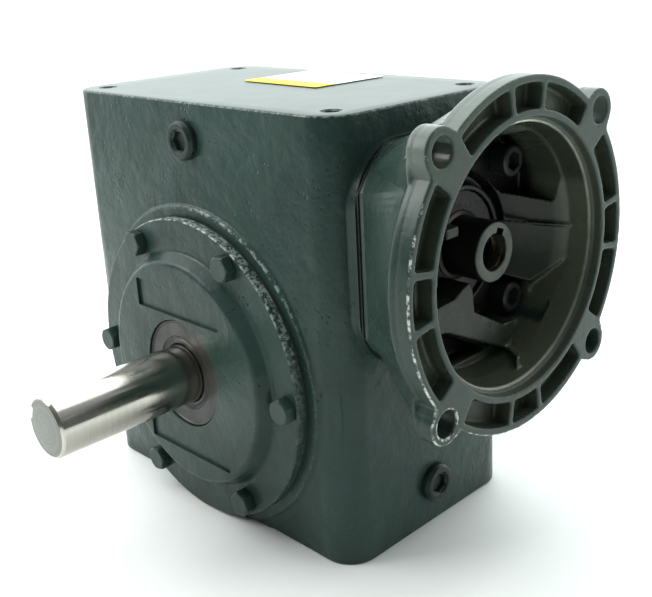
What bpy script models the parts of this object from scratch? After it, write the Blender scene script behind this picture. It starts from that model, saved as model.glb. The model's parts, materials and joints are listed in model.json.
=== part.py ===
"""A right-angle worm gear reducer. A hollow input quill behind a C-face motor flange carries the
worm, and the worm turns a bronze wheel on a solid output shaft that leaves through one side.

+X points out of the motor flange, -Y out along the output shaft and +Z up. The origin is in the
middle of the base, straight below the point where the two shafts cross."""

import math

import bmesh
import bpy
from mathutils import Matrix

GAP = 0.0003  # left between faces that touch
REACH = 0.02  # how far a cutter runs past the face that it opens

# Gearing
CENTRE_DISTANCE = 0.066675
WHEEL_TEETH = 30
WHEEL_PITCH_RADIUS = 0.050
WORM_PITCH_RADIUS = CENTRE_DISTANCE - WHEEL_PITCH_RADIUS
MODULE = 2 * WHEEL_PITCH_RADIUS / WHEEL_TEETH
AXIAL_PITCH = math.pi * MODULE
PRESSURE_ANGLE = math.radians(20)
FLANK_CLEARANCE = 0.0003
WORM_TIP_RADIUS = WORM_PITCH_RADIUS + 0.88 * MODULE
WORM_ROOT_RADIUS = WORM_PITCH_RADIUS - 1.2 * MODULE
THREAD_TURNS = 5
THREAD_STEPS = 16  # to a turn
THREAD_PHASE = math.radians(3.75)

# Housing
OUTPUT_Z = 0.075
INPUT_Z = OUTPUT_Z + CENTRE_DISTANCE
HALF_LENGTH = 0.095
HALF_WIDTH = 0.057
HEIGHT = 0.203
CORNER_RADIUS = 0.015
CAVITY_HALF_LENGTH = 0.084
CAVITY_HALF_WIDTH = 0.046
CAVITY_CORNER_RADIUS = 0.024
CAVITY_FLOOR = 0.010
COVER_BORE_RADIUS = 0.062
COVER_BOSS_RADIUS = 0.079
COVER_BOSS_FACE = 0.059
COVER_BOSS_FOOT = 0.053
COVER_BOSS_FLARE = 0.0065  # how much wider the foot is than the face
COVER_BORE_END = 0.040
FLANGE_BOSS_HALF_WIDTH = 0.0492
FLANGE_BOSS_CORNER_RADIUS = 0.0270
FLANGE_BOSS_FACE = 0.0986
FLANGE_BOSS_FOOT = 0.0935
REAR_BOSS_RADIUS = 0.040
REAR_BOSS_FACE = 0.100
REAR_BOSS_FOOT = 0.090
REAR_BOSS_FLARE = 0.004
WORM_BORE_END = 0.070
FRONT_WORM_BORE = 0.0313
REAR_WORM_BORE = 0.0263
FRONT_BEARING_BOSS = 0.039  # the thickened wall round each worm bearing, inside
REAR_BEARING_BOSS = 0.033
BEARING_BOSS_END = 0.087
FRONT_BEARING_BOSS_END = 0.078
REAR_BEARING_BOSS_END = 0.076
MOUNT_HOLES = (0.082, 0.0434)
MOUNT_HOLE_RADIUS = 0.004
MOUNT_HOLE_DEPTH = 0.016
COVER_BOLT_HOLE_END = 0.0480
FLANGE_SCREW_HOLE_END = 0.0845

# Output covers
COVER_RADIUS = 0.0745
COVER_THICKNESS = 0.0048
GASKET_THICKNESS = 0.0008
COVER_BACK = COVER_BOSS_FACE + GASKET_THICKNESS + 2 * GAP
COVER_FRONT = COVER_BACK + COVER_THICKNESS
COVER_CENTRE_FACE = 0.0715
COVER_CENTRE_RADIUS = 0.054
COVER_CENTRE_TAPER = 0.0035
COVER_SPIGOT_END = 0.0540
COVER_SPIGOT_DISH = 0.0020  # the spigot's end slopes in by this much towards the bearing
COVER_BEARING_BOSS_RADIUS = 0.036
COVER_INNER_END = 0.038
SEAL_SEAT = 0.0620
SEAL_SEAT_BORE = 0.0190
CLOSED_COVER_FACE = 0.0700
CLOSED_COVER_POCKET = 0.0600
CLOSED_COVER_POCKET_RADIUS = 0.0200
PANEL_SIZE = (0.062, 0.014)
PANEL_OFFSET = 0.0355
PANEL_DEPTH = 0.0013
COVER_BOLT_RADIUS = 0.0675
COVER_BOLT_COUNT = 6
COVER_BOLT_SHANK = 0.0031
COVER_BOLT_HEAD = 0.0111  # across the flats
COVER_BOLT_HEAD_HEIGHT = 0.0050
COVER_BOLT_END = 0.0490

# Output shaft and its tapered roller bearings
SHAFT_RADIUS = 0.0142875
SHAFT_END = 0.1434
SHAFT_CHAMFER = 0.0013
SHAFT_REAR_END = 0.0550
SHAFT_STEP = (0.0560, 0.0575)  # where the bearing seat tapers to the shaft's own radius
SHAFT_COLLAR_RADIUS = 0.0225
SHAFT_COLLAR_ENDS = (0.0310, 0.0340)
SHAFT_KEYWAY_WIDTH = 0.00635
SHAFT_KEYWAY_DEPTH = 0.0032
SHAFT_KEYWAY_LENGTH = 0.050
SHAFT_KEYWAY_ANGLE = math.radians(-70)  # from straight up, towards +X
OUTPUT_BEARING_BORE = 0.015875
OUTPUT_BEARING_OUTSIDE = 0.0296
OUTPUT_BEARING_INNER_END = 0.0378
OUTPUT_BEARING_OUTER_END = 0.0542
WHEEL_SEAT_RADIUS = 0.019
WHEEL_HUB_HALF_LENGTH = 0.0200
WHEEL_HUB_RADIUS = 0.0300
WHEEL_WEB_HALF_LENGTH = 0.0070
WHEEL_WEB_RADIUS = 0.0412
WHEEL_RIM_BORE = 0.0400
WHEEL_KEY_HALF_LENGTH = 0.0170
SEAL_RADIUS = 0.0264
KEY_WIDTH = 0.0095

# Worm, its ball bearings and the quill
QUILL_BORE_RADIUS = 0.0079375
QUILL_RADIUS = 0.013
QUILL_END = 0.1305
QUILL_BORE_END = 0.070
QUILL_KEYWAY_WIDTH = 0.00476
QUILL_KEYWAY_TOP = 0.0103
QUILL_KEYWAY_ANGLE = math.radians(-22)  # from straight up, towards +Y
FRONT_JOURNAL_RADIUS = 0.015
REAR_JOURNAL_RADIUS = 0.0125
WORM_SHOULDER_RADIUS = 0.0185
WORM_SHOULDER_ENDS = (0.0740, 0.0797)
WORM_BODY_RADIUS = 0.0165
WORM_CORE_ENDS = (0.0320, 0.0360)  # where the core runs out to the body
REAR_JOURNAL_ENDS = (0.0777, 0.0935)
QUILL_STEP = (0.1120, 0.1125)

# Motor flange, to the 56C face
FLANGE_FACE = 0.1466
FLANGE_BOLT_RADIUS = 0.149225 / 2
PILOT_RADIUS = 0.1143 / 2
PILOT_DEPTH = 0.0046
RIM_RADIUS = 0.0735
RIM_BACK = 0.1364
POCKET_INNER_RADIUS = 0.0602
POCKET_OUTER_RADIUS = 0.0704
POCKET_FLOOR = 0.1388
EAR_RADIUS = 0.0095
EAR_HOLE_RADIUS = 0.00555
EAR_BACK = 0.1364
EAR_WEB = ((0.050, 0.102), (0.0795, 0.1372), (0.060, 0.1372))  # radius and distance along X
EAR_WEB_HALF_THICKNESS = 0.008
BELL_FLOOR = 0.112
BELL_FLOOR_RADIUS = 0.0300
BELL_RADIUS = 0.0540
BELL_WALL_END = 0.133
RECESS_FLOOR = 0.109
RECESS_RADIUS = 0.0530
RECESS_HALF_WIDTH = 0.0470  # keeps a wall inside the neck's flats
RECESS_EDGES = (0.0216, -0.0241)  # the sides of the band between the recesses
RECESS_MOUTH = 0.1400
FLANGE_BASE_RADIUS = 0.0574
FLANGE_SHOULDER = (0.0700, 0.1342)
FLANGE_NECK_END = 0.1025
FLANGE_NECK_HALF_WIDTH = 0.0485
FLANGE_SPIGOT_RADIUS = 0.0308
FLANGE_SPIGOT_END = 0.0963
FLANGE_THROAT_RADIUS = 0.0200
INPUT_SEAL_BORE = 0.0237
INPUT_SEAL_SEAT = 0.1034
FACING = 0.002  # extra length that the flange's facing cut takes off
FLANGE_BASE = FLANGE_BOSS_FACE + GASKET_THICKNESS + 2 * GAP
FLANGE_SCREW_RADIUS = 0.0445
FLANGE_SCREW_SHANK = 0.00476
FLANGE_SCREW_HEAD = 0.0070
FLANGE_SCREW_HEAD_HEIGHT = 0.0085
FLANGE_SCREW_SOCKET = 0.0079  # across the flats
FLANGE_SCREW_END = 0.0865

# Pipe plugs and label
SIDE_PLUG_Z = 0.1855
END_PLUG_Z = 0.021
PLUG_COLLAR_RADIUS = 0.0093
PLUG_COLLAR_HEIGHT = 0.0042
PLUG_SHANK_RADIUS = 0.0064
PLUG_SHANK_LENGTH = 0.0105
PLUG_SOCKET = 0.0085  # across the flats
LABEL_SIZE = (0.056, 0.046, 0.0004)
LABEL_CENTRE = (-0.001, 0.026)
LABEL_TILT = math.radians(-2.5)

# Each matrix takes a shape drawn along its own Z to the named axis. Along X the shape's own X
# and Y become Y and Z, and along Y they become Z and X.
AXES = {
    "X": Matrix(((0, 0, 1), (1, 0, 0), (0, 1, 0))).to_4x4(),
    "Y": Matrix(((0, 1, 0), (0, 0, 1), (1, 0, 0))).to_4x4(),
    "Z": Matrix.Identity(4),
}
OUTPUT_AXIS = (0, 0, OUTPUT_Z)
INPUT_AXIS = (0, 0, INPUT_Z)


def clear_scene():
    for obj in list(bpy.data.objects):
        bpy.data.objects.remove(obj, do_unlink=True)


def new_collection(name):
    collection = bpy.data.collections.new(name)
    bpy.context.scene.collection.children.link(collection)
    return collection


def new_material(name, colour, roughness, metallic):
    material = bpy.data.materials.new(name)
    material.use_nodes = True
    shader = material.node_tree.nodes["Principled BSDF"]
    shader.inputs["Base Color"].default_value = (*colour, 1)
    shader.inputs["Roughness"].default_value = roughness
    shader.inputs["Metallic"].default_value = metallic
    return material


clear_scene()
PARTS = new_collection("worm_gear_reducer")
CUTTERS = new_collection("cutters")
PAINT = new_material("grey_green_paint", (0.085, 0.115, 0.105), 0.42, 0.0)
BARE_ALLOY = new_material("painted_cast_flange", (0.13, 0.15, 0.14), 0.4, 0.1)
STEEL = new_material("ground_steel", (0.62, 0.61, 0.58), 0.25, 1.0)
DARK_STEEL = new_material("dark_steel", (0.07, 0.07, 0.07), 0.45, 0.8)
BRONZE = new_material("bronze", (0.55, 0.36, 0.16), 0.35, 1.0)
SEAL_CASE = new_material("seal_case", (0.13, 0.09, 0.075), 0.6, 0.3)
GASKET = new_material("gasket_paper", (0.20, 0.17, 0.12), 0.9, 0.0)
LABEL = new_material("label_print", (0.85, 0.86, 0.82), 0.4, 0.0)


# --- Building blocks ------------------------------------------------------------------------


def placed(name, mesh, axis, at):
    obj = bpy.data.objects.new(name, mesh)
    CUTTERS.objects.link(obj)
    obj.matrix_world = Matrix.Translation(at) @ AXES[axis]
    obj.hide_render = True
    obj.display_type = "WIRE"
    return obj


def turned(name, profile, axis="Z", at=(0, 0, 0), steps=32, closed=False):
    """Turns a profile of (radius, height) points, which run down the outer side."""
    count = len(profile)
    edges = [(i, i + 1) for i in range(count - 1)]
    if closed:
        edges.append((count - 1, 0))
    mesh = bpy.data.meshes.new(name)
    mesh.from_pydata([(radius, 0, height) for radius, height in profile], edges, [])
    obj = placed(name, mesh, axis, at)
    screw = obj.modifiers.new("turn", "SCREW")
    screw.steps = steps
    screw.render_steps = steps
    screw.use_merge_vertices = True
    screw.merge_threshold = 0.00001
    return obj


def rod(name, radius, low, high, axis="Z", at=(0, 0, 0), steps=24, high_radius=None, turn=0.0):
    """A cylinder from low to high along its axis, or a cone if high_radius differs."""
    mesh = bpy.data.meshes.new(name)
    form = bmesh.new()
    bmesh.ops.create_cone(
        form,
        cap_ends=True,
        segments=steps,
        radius1=radius,
        radius2=radius if high_radius is None else high_radius,
        depth=high - low,
    )
    bmesh.ops.rotate(form, matrix=Matrix.Rotation(turn, 3, "Z"), verts=form.verts)
    bmesh.ops.translate(form, vec=(0, 0, (low + high) / 2), verts=form.verts)
    form.to_mesh(mesh)
    form.free()
    return placed(name, mesh, axis, at)


def bolt_rod(name, radius, low, high, axis="Z", at=(0, 0, 0), steps=8):
    """A rod with flats, not corners, on the lines that run out from the centre of the bolt circle."""
    return rod(name, radius, low, high, axis, at, steps, turn=math.pi / steps)


def block(name, low, high):
    """A box between two opposite corners."""
    mesh = bpy.data.meshes.new(name)
    form = bmesh.new()
    bmesh.ops.create_cube(form, size=1)
    size = [b - a for a, b in zip(low, high)]
    middle = [(a + b) / 2 for a, b in zip(low, high)]
    bmesh.ops.scale(form, vec=size, verts=form.verts)
    bmesh.ops.translate(form, vec=middle, verts=form.verts)
    form.to_mesh(mesh)
    form.free()
    return placed(name, mesh, "Z", (0, 0, 0))


def arc(radius, start, end, steps, centre=(0, 0)):
    """Points on an arc, with its angles in degrees."""
    angles = [math.radians(start + (end - start) * i / steps) for i in range(steps + 1)]
    return [(centre[0] + radius * math.cos(a), centre[1] + radius * math.sin(a)) for a in angles]


def slab(name, outline, low, high, axis="Z", at=(0, 0, 0)):
    """A flat outline given a thickness from low to high along its axis."""
    curve = bpy.data.curves.new(name, "CURVE")
    curve.dimensions = "2D"
    curve.fill_mode = "BOTH"
    curve.extrude = (high - low) / 2
    spline = curve.splines.new("POLY")
    spline.points.add(len(outline) - 1)
    for point, (u, v) in zip(spline.points, outline):
        point.co = (u, v, 0, 1)
    spline.use_cyclic_u = True
    guide = placed(name + "_outline", curve, axis, at)
    bpy.context.view_layer.update()
    mesh = bpy.data.meshes.new_from_object(guide.evaluated_get(bpy.context.evaluated_depsgraph_get()))
    bpy.data.objects.remove(guide, do_unlink=True)
    form = bmesh.new()
    form.from_mesh(mesh)
    bmesh.ops.remove_doubles(form, verts=form.verts, dist=0.000001)
    bmesh.ops.translate(form, vec=(0, 0, (low + high) / 2), verts=form.verts)
    bmesh.ops.recalc_face_normals(form, faces=form.faces)
    form.to_mesh(mesh)
    form.free()
    mesh.name = name
    return placed(name, mesh, axis, at)


def rounded_rectangle(half_u, half_v, radius, steps):
    outline = []
    for quarter, (side_u, side_v) in enumerate(((1, 1), (-1, 1), (-1, -1), (1, -1))):
        centre = (side_u * (half_u - radius), side_v * (half_v - radius))
        outline += arc(radius, 90 * quarter, 90 * quarter + 90, steps, centre)
    return outline


def combine(target, others, operation):
    for other in others:
        boolean = target.modifiers.new(other.name, "BOOLEAN")
        boolean.operation = operation
        boolean.solver = "EXACT"
        boolean.object = other


def join(target, others):
    combine(target, others, "UNION")


def cut(target, others):
    combine(target, others, "DIFFERENCE")


def finished(obj, name, material):
    """Applies an object's modifiers and moves it in among the parts."""
    bpy.context.view_layer.update()
    graph = bpy.context.evaluated_depsgraph_get()
    mesh = bpy.data.meshes.new_from_object(obj.evaluated_get(graph))
    obj.modifiers.clear()
    obj.data = mesh
    mesh.materials.clear()
    mesh.materials.append(material)
    mesh.shade_smooth()
    mesh.set_sharp_from_angle(angle=math.radians(32))
    obj.name = name
    mesh.name = name
    CUTTERS.objects.unlink(obj)
    PARTS.objects.link(obj)
    obj.hide_render = False
    obj.display_type = "TEXTURED"
    return obj


def copied(source, name, matrix):
    """Another object with the same mesh, moved from where the first one is."""
    other = bpy.data.objects.new(name, source.data)
    other.matrix_world = matrix @ source.matrix_world
    PARTS.objects.link(other)
    return other


def circle_places(radius, count, start, axis, at):
    """Points spread evenly on a circle about an axis, starting at an angle in degrees."""
    frame = Matrix.Translation(at) @ AXES[axis]
    step = 2 * math.pi / count
    angles = [math.radians(start) + step * i for i in range(count)]
    outwards = Matrix.Translation((radius, 0, 0))
    return [(frame @ Matrix.Rotation(a, 4, "Z") @ outwards).translation for a in angles]


# --- Housing --------------------------------------------------------------------------------


def cover_bolt_places():
    return circle_places(COVER_BOLT_RADIUS, COVER_BOLT_COUNT, 30, "Y", OUTPUT_AXIS)


def flange_screw_places():
    return circle_places(FLANGE_SCREW_RADIUS, 4, 45, "X", INPUT_AXIS)


def make_housing():
    outline = rounded_rectangle(HALF_LENGTH, HALF_WIDTH, CORNER_RADIUS, 6)
    below = -0.004
    housing = slab("housing_blank", outline, below, HEIGHT)
    bosses = []
    for side, label in ((-1, "front"), (1, "back")):
        low, high = sorted((side * COVER_BOSS_FACE, side * COVER_BOSS_FOOT))
        radii = (COVER_BOSS_RADIUS, COVER_BOSS_RADIUS + COVER_BOSS_FLARE)[::-side]
        bosses.append(rod(label + "_boss", radii[0], low, high, "Y", OUTPUT_AXIS, 36, radii[1]))
    square = rounded_rectangle(FLANGE_BOSS_HALF_WIDTH, FLANGE_BOSS_HALF_WIDTH, FLANGE_BOSS_CORNER_RADIUS, 8)
    bosses.append(slab("flange_boss", square, FLANGE_BOSS_FOOT, FLANGE_BOSS_FACE, "X", INPUT_AXIS))
    foot = REAR_BOSS_RADIUS + REAR_BOSS_FLARE
    ends = (-REAR_BOSS_FACE, -REAR_BOSS_FOOT)
    bosses.append(rod("rear_boss", REAR_BOSS_RADIUS, *ends, "X", INPUT_AXIS, 32, foot))
    join(housing, bosses)
    inside = rounded_rectangle(CAVITY_HALF_LENGTH, CAVITY_HALF_WIDTH, CAVITY_CORNER_RADIUS, 4)
    cut(
        housing,
        [
            block("below_base", (-0.2, -0.2, -0.1), (0.2, 0.2, 0)),
            slab("cavity", inside, CAVITY_FLOOR, HEIGHT - CAVITY_FLOOR),
        ],
    )
    front = (FRONT_BEARING_BOSS_END, BEARING_BOSS_END)
    rear = (-BEARING_BOSS_END, -REAR_BEARING_BOSS_END)
    join(
        housing,
        [
            rod("front_bearing_boss", FRONT_BEARING_BOSS, *front, "X", INPUT_AXIS),
            rod("rear_bearing_boss", REAR_BEARING_BOSS, *rear, "X", INPUT_AXIS),
        ],
    )
    front = (-COVER_BOSS_FACE - REACH, -COVER_BORE_END)
    back = (COVER_BORE_END, COVER_BOSS_FACE + REACH)
    holes = [
        rod("cover_bore_front", COVER_BORE_RADIUS, *front, "Y", OUTPUT_AXIS, 36),
        rod("cover_bore_back", COVER_BORE_RADIUS, *back, "Y", OUTPUT_AXIS, 36),
        rod("worm_bore_front", FRONT_WORM_BORE, WORM_BORE_END, FLANGE_BOSS_FACE + REACH, "X", INPUT_AXIS),
        rod("worm_bore_rear", REAR_WORM_BORE, -REAR_BOSS_FACE - REACH, -WORM_BORE_END, "X", INPUT_AXIS),
    ]
    for sign in (-1, 1):
        low, high = sorted((sign * (HALF_WIDTH + REACH), sign * (CAVITY_HALF_WIDTH - 0.006)))
        holes.append(rod("side_plug_hole", PLUG_SHANK_RADIUS + GAP, low, high, "Y", (0, 0, SIDE_PLUG_Z), 16))
        low, high = sorted((sign * (HALF_LENGTH + REACH), sign * (CAVITY_HALF_LENGTH - 0.006)))
        holes.append(rod("end_plug_hole", PLUG_SHANK_RADIUS + GAP, low, high, "X", (0, 0, END_PLUG_Z), 16))
    for x in (-MOUNT_HOLES[0], MOUNT_HOLES[0]):
        for y in (-MOUNT_HOLES[1], MOUNT_HOLES[1]):
            top = HEIGHT - MOUNT_HOLE_DEPTH
            holes.append(rod("top_hole", MOUNT_HOLE_RADIUS, top, HEIGHT + REACH, "Z", (x, y, 0), 12))
            holes.append(rod("base_hole", MOUNT_HOLE_RADIUS, -REACH, MOUNT_HOLE_DEPTH, "Z", (x, y, 0), 12))
    for place in cover_bolt_places():
        for sign in (-1, 1):
            low, high = sorted((sign * (COVER_BOSS_FACE + REACH), sign * COVER_BOLT_HOLE_END))
            holes.append(bolt_rod("cover_bolt_hole", COVER_BOLT_SHANK + GAP, low, high, "Y", place))
    for place in flange_screw_places():
        ends = (FLANGE_SCREW_HOLE_END, FLANGE_BOSS_FACE + REACH)
        holes.append(bolt_rod("flange_screw_hole", FLANGE_SCREW_SHANK + GAP, *ends, "X", place, 12))
    cut(housing, holes)
    return finished(housing, "housing", PAINT)


# --- Covers, gaskets and plain fasteners ----------------------------------------------------


def make_output_cover():
    cover = turned(
        "output_cover_blank",
        [
            (COVER_BEARING_BOSS_RADIUS, -COVER_INNER_END),
            (COVER_BEARING_BOSS_RADIUS, COVER_SPIGOT_DISH - COVER_SPIGOT_END),
            (COVER_BORE_RADIUS - GAP, -COVER_SPIGOT_END),
            (COVER_BORE_RADIUS - GAP, -COVER_BACK),
            (COVER_RADIUS, -COVER_BACK),
            (COVER_RADIUS, -COVER_FRONT),
            (COVER_CENTRE_RADIUS + COVER_CENTRE_TAPER, -COVER_FRONT),
            (COVER_CENTRE_RADIUS, -COVER_CENTRE_FACE),
            (SEAL_RADIUS + GAP, -COVER_CENTRE_FACE),
            (SEAL_RADIUS + GAP, -SEAL_SEAT),
            (SEAL_SEAT_BORE, -SEAL_SEAT),
            (SEAL_SEAT_BORE, -OUTPUT_BEARING_OUTER_END - 2 * GAP),
            (OUTPUT_BEARING_OUTSIDE + GAP, -OUTPUT_BEARING_OUTER_END - 2 * GAP),
            (OUTPUT_BEARING_OUTSIDE + GAP, -COVER_INNER_END),
        ],
        "Y",
        OUTPUT_AXIS,
        36,
        closed=True,
    )
    cutters = []
    for sign in (-1, 1):
        middle = OUTPUT_Z + sign * PANEL_OFFSET
        low = (-PANEL_SIZE[0] / 2, -COVER_CENTRE_FACE - REACH, middle - PANEL_SIZE[1] / 2)
        high = (PANEL_SIZE[0] / 2, -COVER_CENTRE_FACE + PANEL_DEPTH, middle + PANEL_SIZE[1] / 2)
        cutters.append(block("panel_recess", low, high))
    for place in cover_bolt_places():
        ends = (-COVER_FRONT - REACH, -COVER_BOSS_FACE)
        cutters.append(bolt_rod("cover_hole", COVER_BOLT_SHANK + GAP, *ends, "Y", place))
    cut(cover, cutters)
    return finished(cover, "output_cover", PAINT)


def make_closed_cover():
    cover = turned(
        "closed_cover_blank",
        [
            (0, CLOSED_COVER_FACE),
            (COVER_CENTRE_RADIUS - COVER_CENTRE_TAPER, CLOSED_COVER_FACE),
            (COVER_CENTRE_RADIUS, COVER_FRONT),
            (COVER_RADIUS, COVER_FRONT),
            (COVER_RADIUS, COVER_BACK),
            (COVER_BORE_RADIUS - GAP, COVER_BACK),
            (COVER_BORE_RADIUS - GAP, COVER_SPIGOT_END),
            (COVER_BEARING_BOSS_RADIUS, COVER_SPIGOT_END - COVER_SPIGOT_DISH),
            (COVER_BEARING_BOSS_RADIUS, COVER_INNER_END),
            (OUTPUT_BEARING_OUTSIDE + GAP, COVER_INNER_END),
            (OUTPUT_BEARING_OUTSIDE + GAP, OUTPUT_BEARING_OUTER_END + 2 * GAP),
            (CLOSED_COVER_POCKET_RADIUS, OUTPUT_BEARING_OUTER_END + 2 * GAP),
            (CLOSED_COVER_POCKET_RADIUS, CLOSED_COVER_POCKET),
            (0, CLOSED_COVER_POCKET),
        ],
        "Y",
        OUTPUT_AXIS,
        36,
    )
    cutters = []
    for place in cover_bolt_places():
        ends = (COVER_BOSS_FACE, COVER_FRONT + REACH)
        cutters.append(bolt_rod("cover_hole", COVER_BOLT_SHANK + GAP, *ends, "Y", place))
    cut(cover, cutters)
    return finished(cover, "closed_cover", PAINT)


def make_ring(name, inner, outer, low, high, axis, at, steps, material, holes=()):
    section = [(outer, high), (outer, low), (inner, low), (inner, high)]
    ring = turned(name + "_blank", section, axis, at, steps, True)
    cut(ring, holes)
    return finished(ring, name, material)


def make_cover_gaskets():
    for sign, name in ((-1, "output_cover_gasket"), (1, "closed_cover_gasket")):
        low, high = sorted((sign * (COVER_BOSS_FACE + GAP), sign * (COVER_BACK - GAP)))
        hole = ("gasket_hole", COVER_BOLT_SHANK + GAP, low - GAP, high + GAP, "Y")
        holes = [bolt_rod(*hole, place) for place in cover_bolt_places()]
        inner, outer = COVER_BORE_RADIUS + GAP, COVER_RADIUS - GAP
        make_ring(name, inner, outer, low, high, "Y", OUTPUT_AXIS, 36, GASKET, holes)


def hexagon(flats):
    return arc(flats / math.sqrt(3), 0, 300, 5)


def make_cover_bolts():
    places = cover_bolt_places()
    head = slab("cover_bolt_head", hexagon(COVER_BOLT_HEAD), 0, COVER_BOLT_HEAD_HEIGHT)
    shank_low = COVER_BOLT_END - COVER_FRONT
    join(head, [bolt_rod("cover_bolt_shank", COVER_BOLT_SHANK, shank_low, 0.001)])
    first = finished(head, "output_cover_bolt_1", PAINT)
    upright = first.matrix_world.inverted()
    towards = {-1: Matrix.Rotation(math.pi / 2, 4, "X"), 1: Matrix.Rotation(-math.pi / 2, 4, "X")}
    for sign, name in ((-1, "output_cover_bolt"), (1, "closed_cover_bolt")):
        for index, place in enumerate(places):
            seat = (place.x, sign * (COVER_FRONT + GAP), place.z)
            matrix = Matrix.Translation(seat) @ towards[sign] @ upright
            if sign == -1 and index == 0:
                first.matrix_world = matrix
                continue
            copied(first, f"{name}_{index + 1}", matrix @ upright @ first.matrix_world.inverted())


def make_pipe_plugs():
    """One plug in each of the four walls, with a hexagon socket in its collar."""
    plug = rod("plug_collar", PLUG_COLLAR_RADIUS, GAP, PLUG_COLLAR_HEIGHT)
    join(plug, [rod("plug_shank", PLUG_SHANK_RADIUS, -PLUG_SHANK_LENGTH, 0.001, steps=16)])
    cut(plug, [slab("plug_socket", hexagon(PLUG_SOCKET), 0.0005, PLUG_COLLAR_HEIGHT + REACH)])
    first = finished(plug, "front_plug", DARK_STEEL)
    seats = (
        ("front_plug", (0, -HALF_WIDTH, SIDE_PLUG_Z), Matrix.Rotation(math.pi / 2, 4, "X")),
        ("back_plug", (0, HALF_WIDTH, SIDE_PLUG_Z), Matrix.Rotation(-math.pi / 2, 4, "X")),
        ("flange_side_plug", (HALF_LENGTH, 0, END_PLUG_Z), Matrix.Rotation(math.pi / 2, 4, "Y")),
        ("rear_side_plug", (-HALF_LENGTH, 0, END_PLUG_Z), Matrix.Rotation(-math.pi / 2, 4, "Y")),
    )
    for name, seat, rotation in seats[1:]:
        copied(first, name, Matrix.Translation(seat) @ rotation)
    first.matrix_world = Matrix.Translation(seats[0][1]) @ seats[0][2]


def make_label():
    length, width, thickness = LABEL_SIZE
    label = block("label_blank", (-length / 2, -width / 2, 0), (length / 2, width / 2, thickness))
    seat = Matrix.Translation((*LABEL_CENTRE, HEIGHT + GAP))
    label.matrix_world = seat @ Matrix.Rotation(LABEL_TILT, 4, "Z")
    return finished(label, "rating_label", LABEL)


# --- Motor flange ---------------------------------------------------------------------------


def pocket_outline(start, end):
    steps = max(2, round((end - start) / 7))
    outer = arc(POCKET_OUTER_RADIUS, start, end, steps)
    inner = arc(POCKET_INNER_RADIUS, end, start, steps)
    return outer + inner


def recess_outline(edge):
    """From an edge of the band out to the bell's wall, held inside a square that leaves the neck its wall."""
    limit = RECESS_HALF_WIDTH
    turn = math.degrees(math.acos(limit / RECESS_RADIUS))
    points = arc(RECESS_RADIUS, turn, 90 - turn, 5) + arc(RECESS_RADIUS, 90 + turn, 180 - turn, 5)
    points = [(limit, abs(edge))] + points + [(-limit, abs(edge))]
    return [(u, math.copysign(v, edge)) for u, v in points]


def radial_slab(name, outline, half_thickness, degrees):
    """A slab whose outline is drawn as radius and distance along X, at an angle round the input axis."""
    upright = Matrix(((0, 1, 0), (1, 0, 0), (0, 0, -1))).to_4x4()
    obj = slab(name, outline, -half_thickness, half_thickness)
    turn = Matrix.Rotation(math.radians(degrees), 4, "X")
    obj.matrix_world = Matrix.Translation(INPUT_AXIS) @ turn @ upright
    return obj


def neck_flats():
    """Cutters that square the round neck, and run out where it flares into the rim."""
    outer_radius = 0.090
    outline = [
        (FLANGE_NECK_HALF_WIDTH, FLANGE_BOSS_FACE),
        (FLANGE_NECK_HALF_WIDTH, FLANGE_NECK_END),
        FLANGE_SHOULDER,
        (outer_radius, FLANGE_SHOULDER[1]),
        (outer_radius, FLANGE_BOSS_FACE),
    ]
    return [radial_slab("neck_flat", outline, outer_radius, 90 * quarter) for quarter in range(4)]


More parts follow.
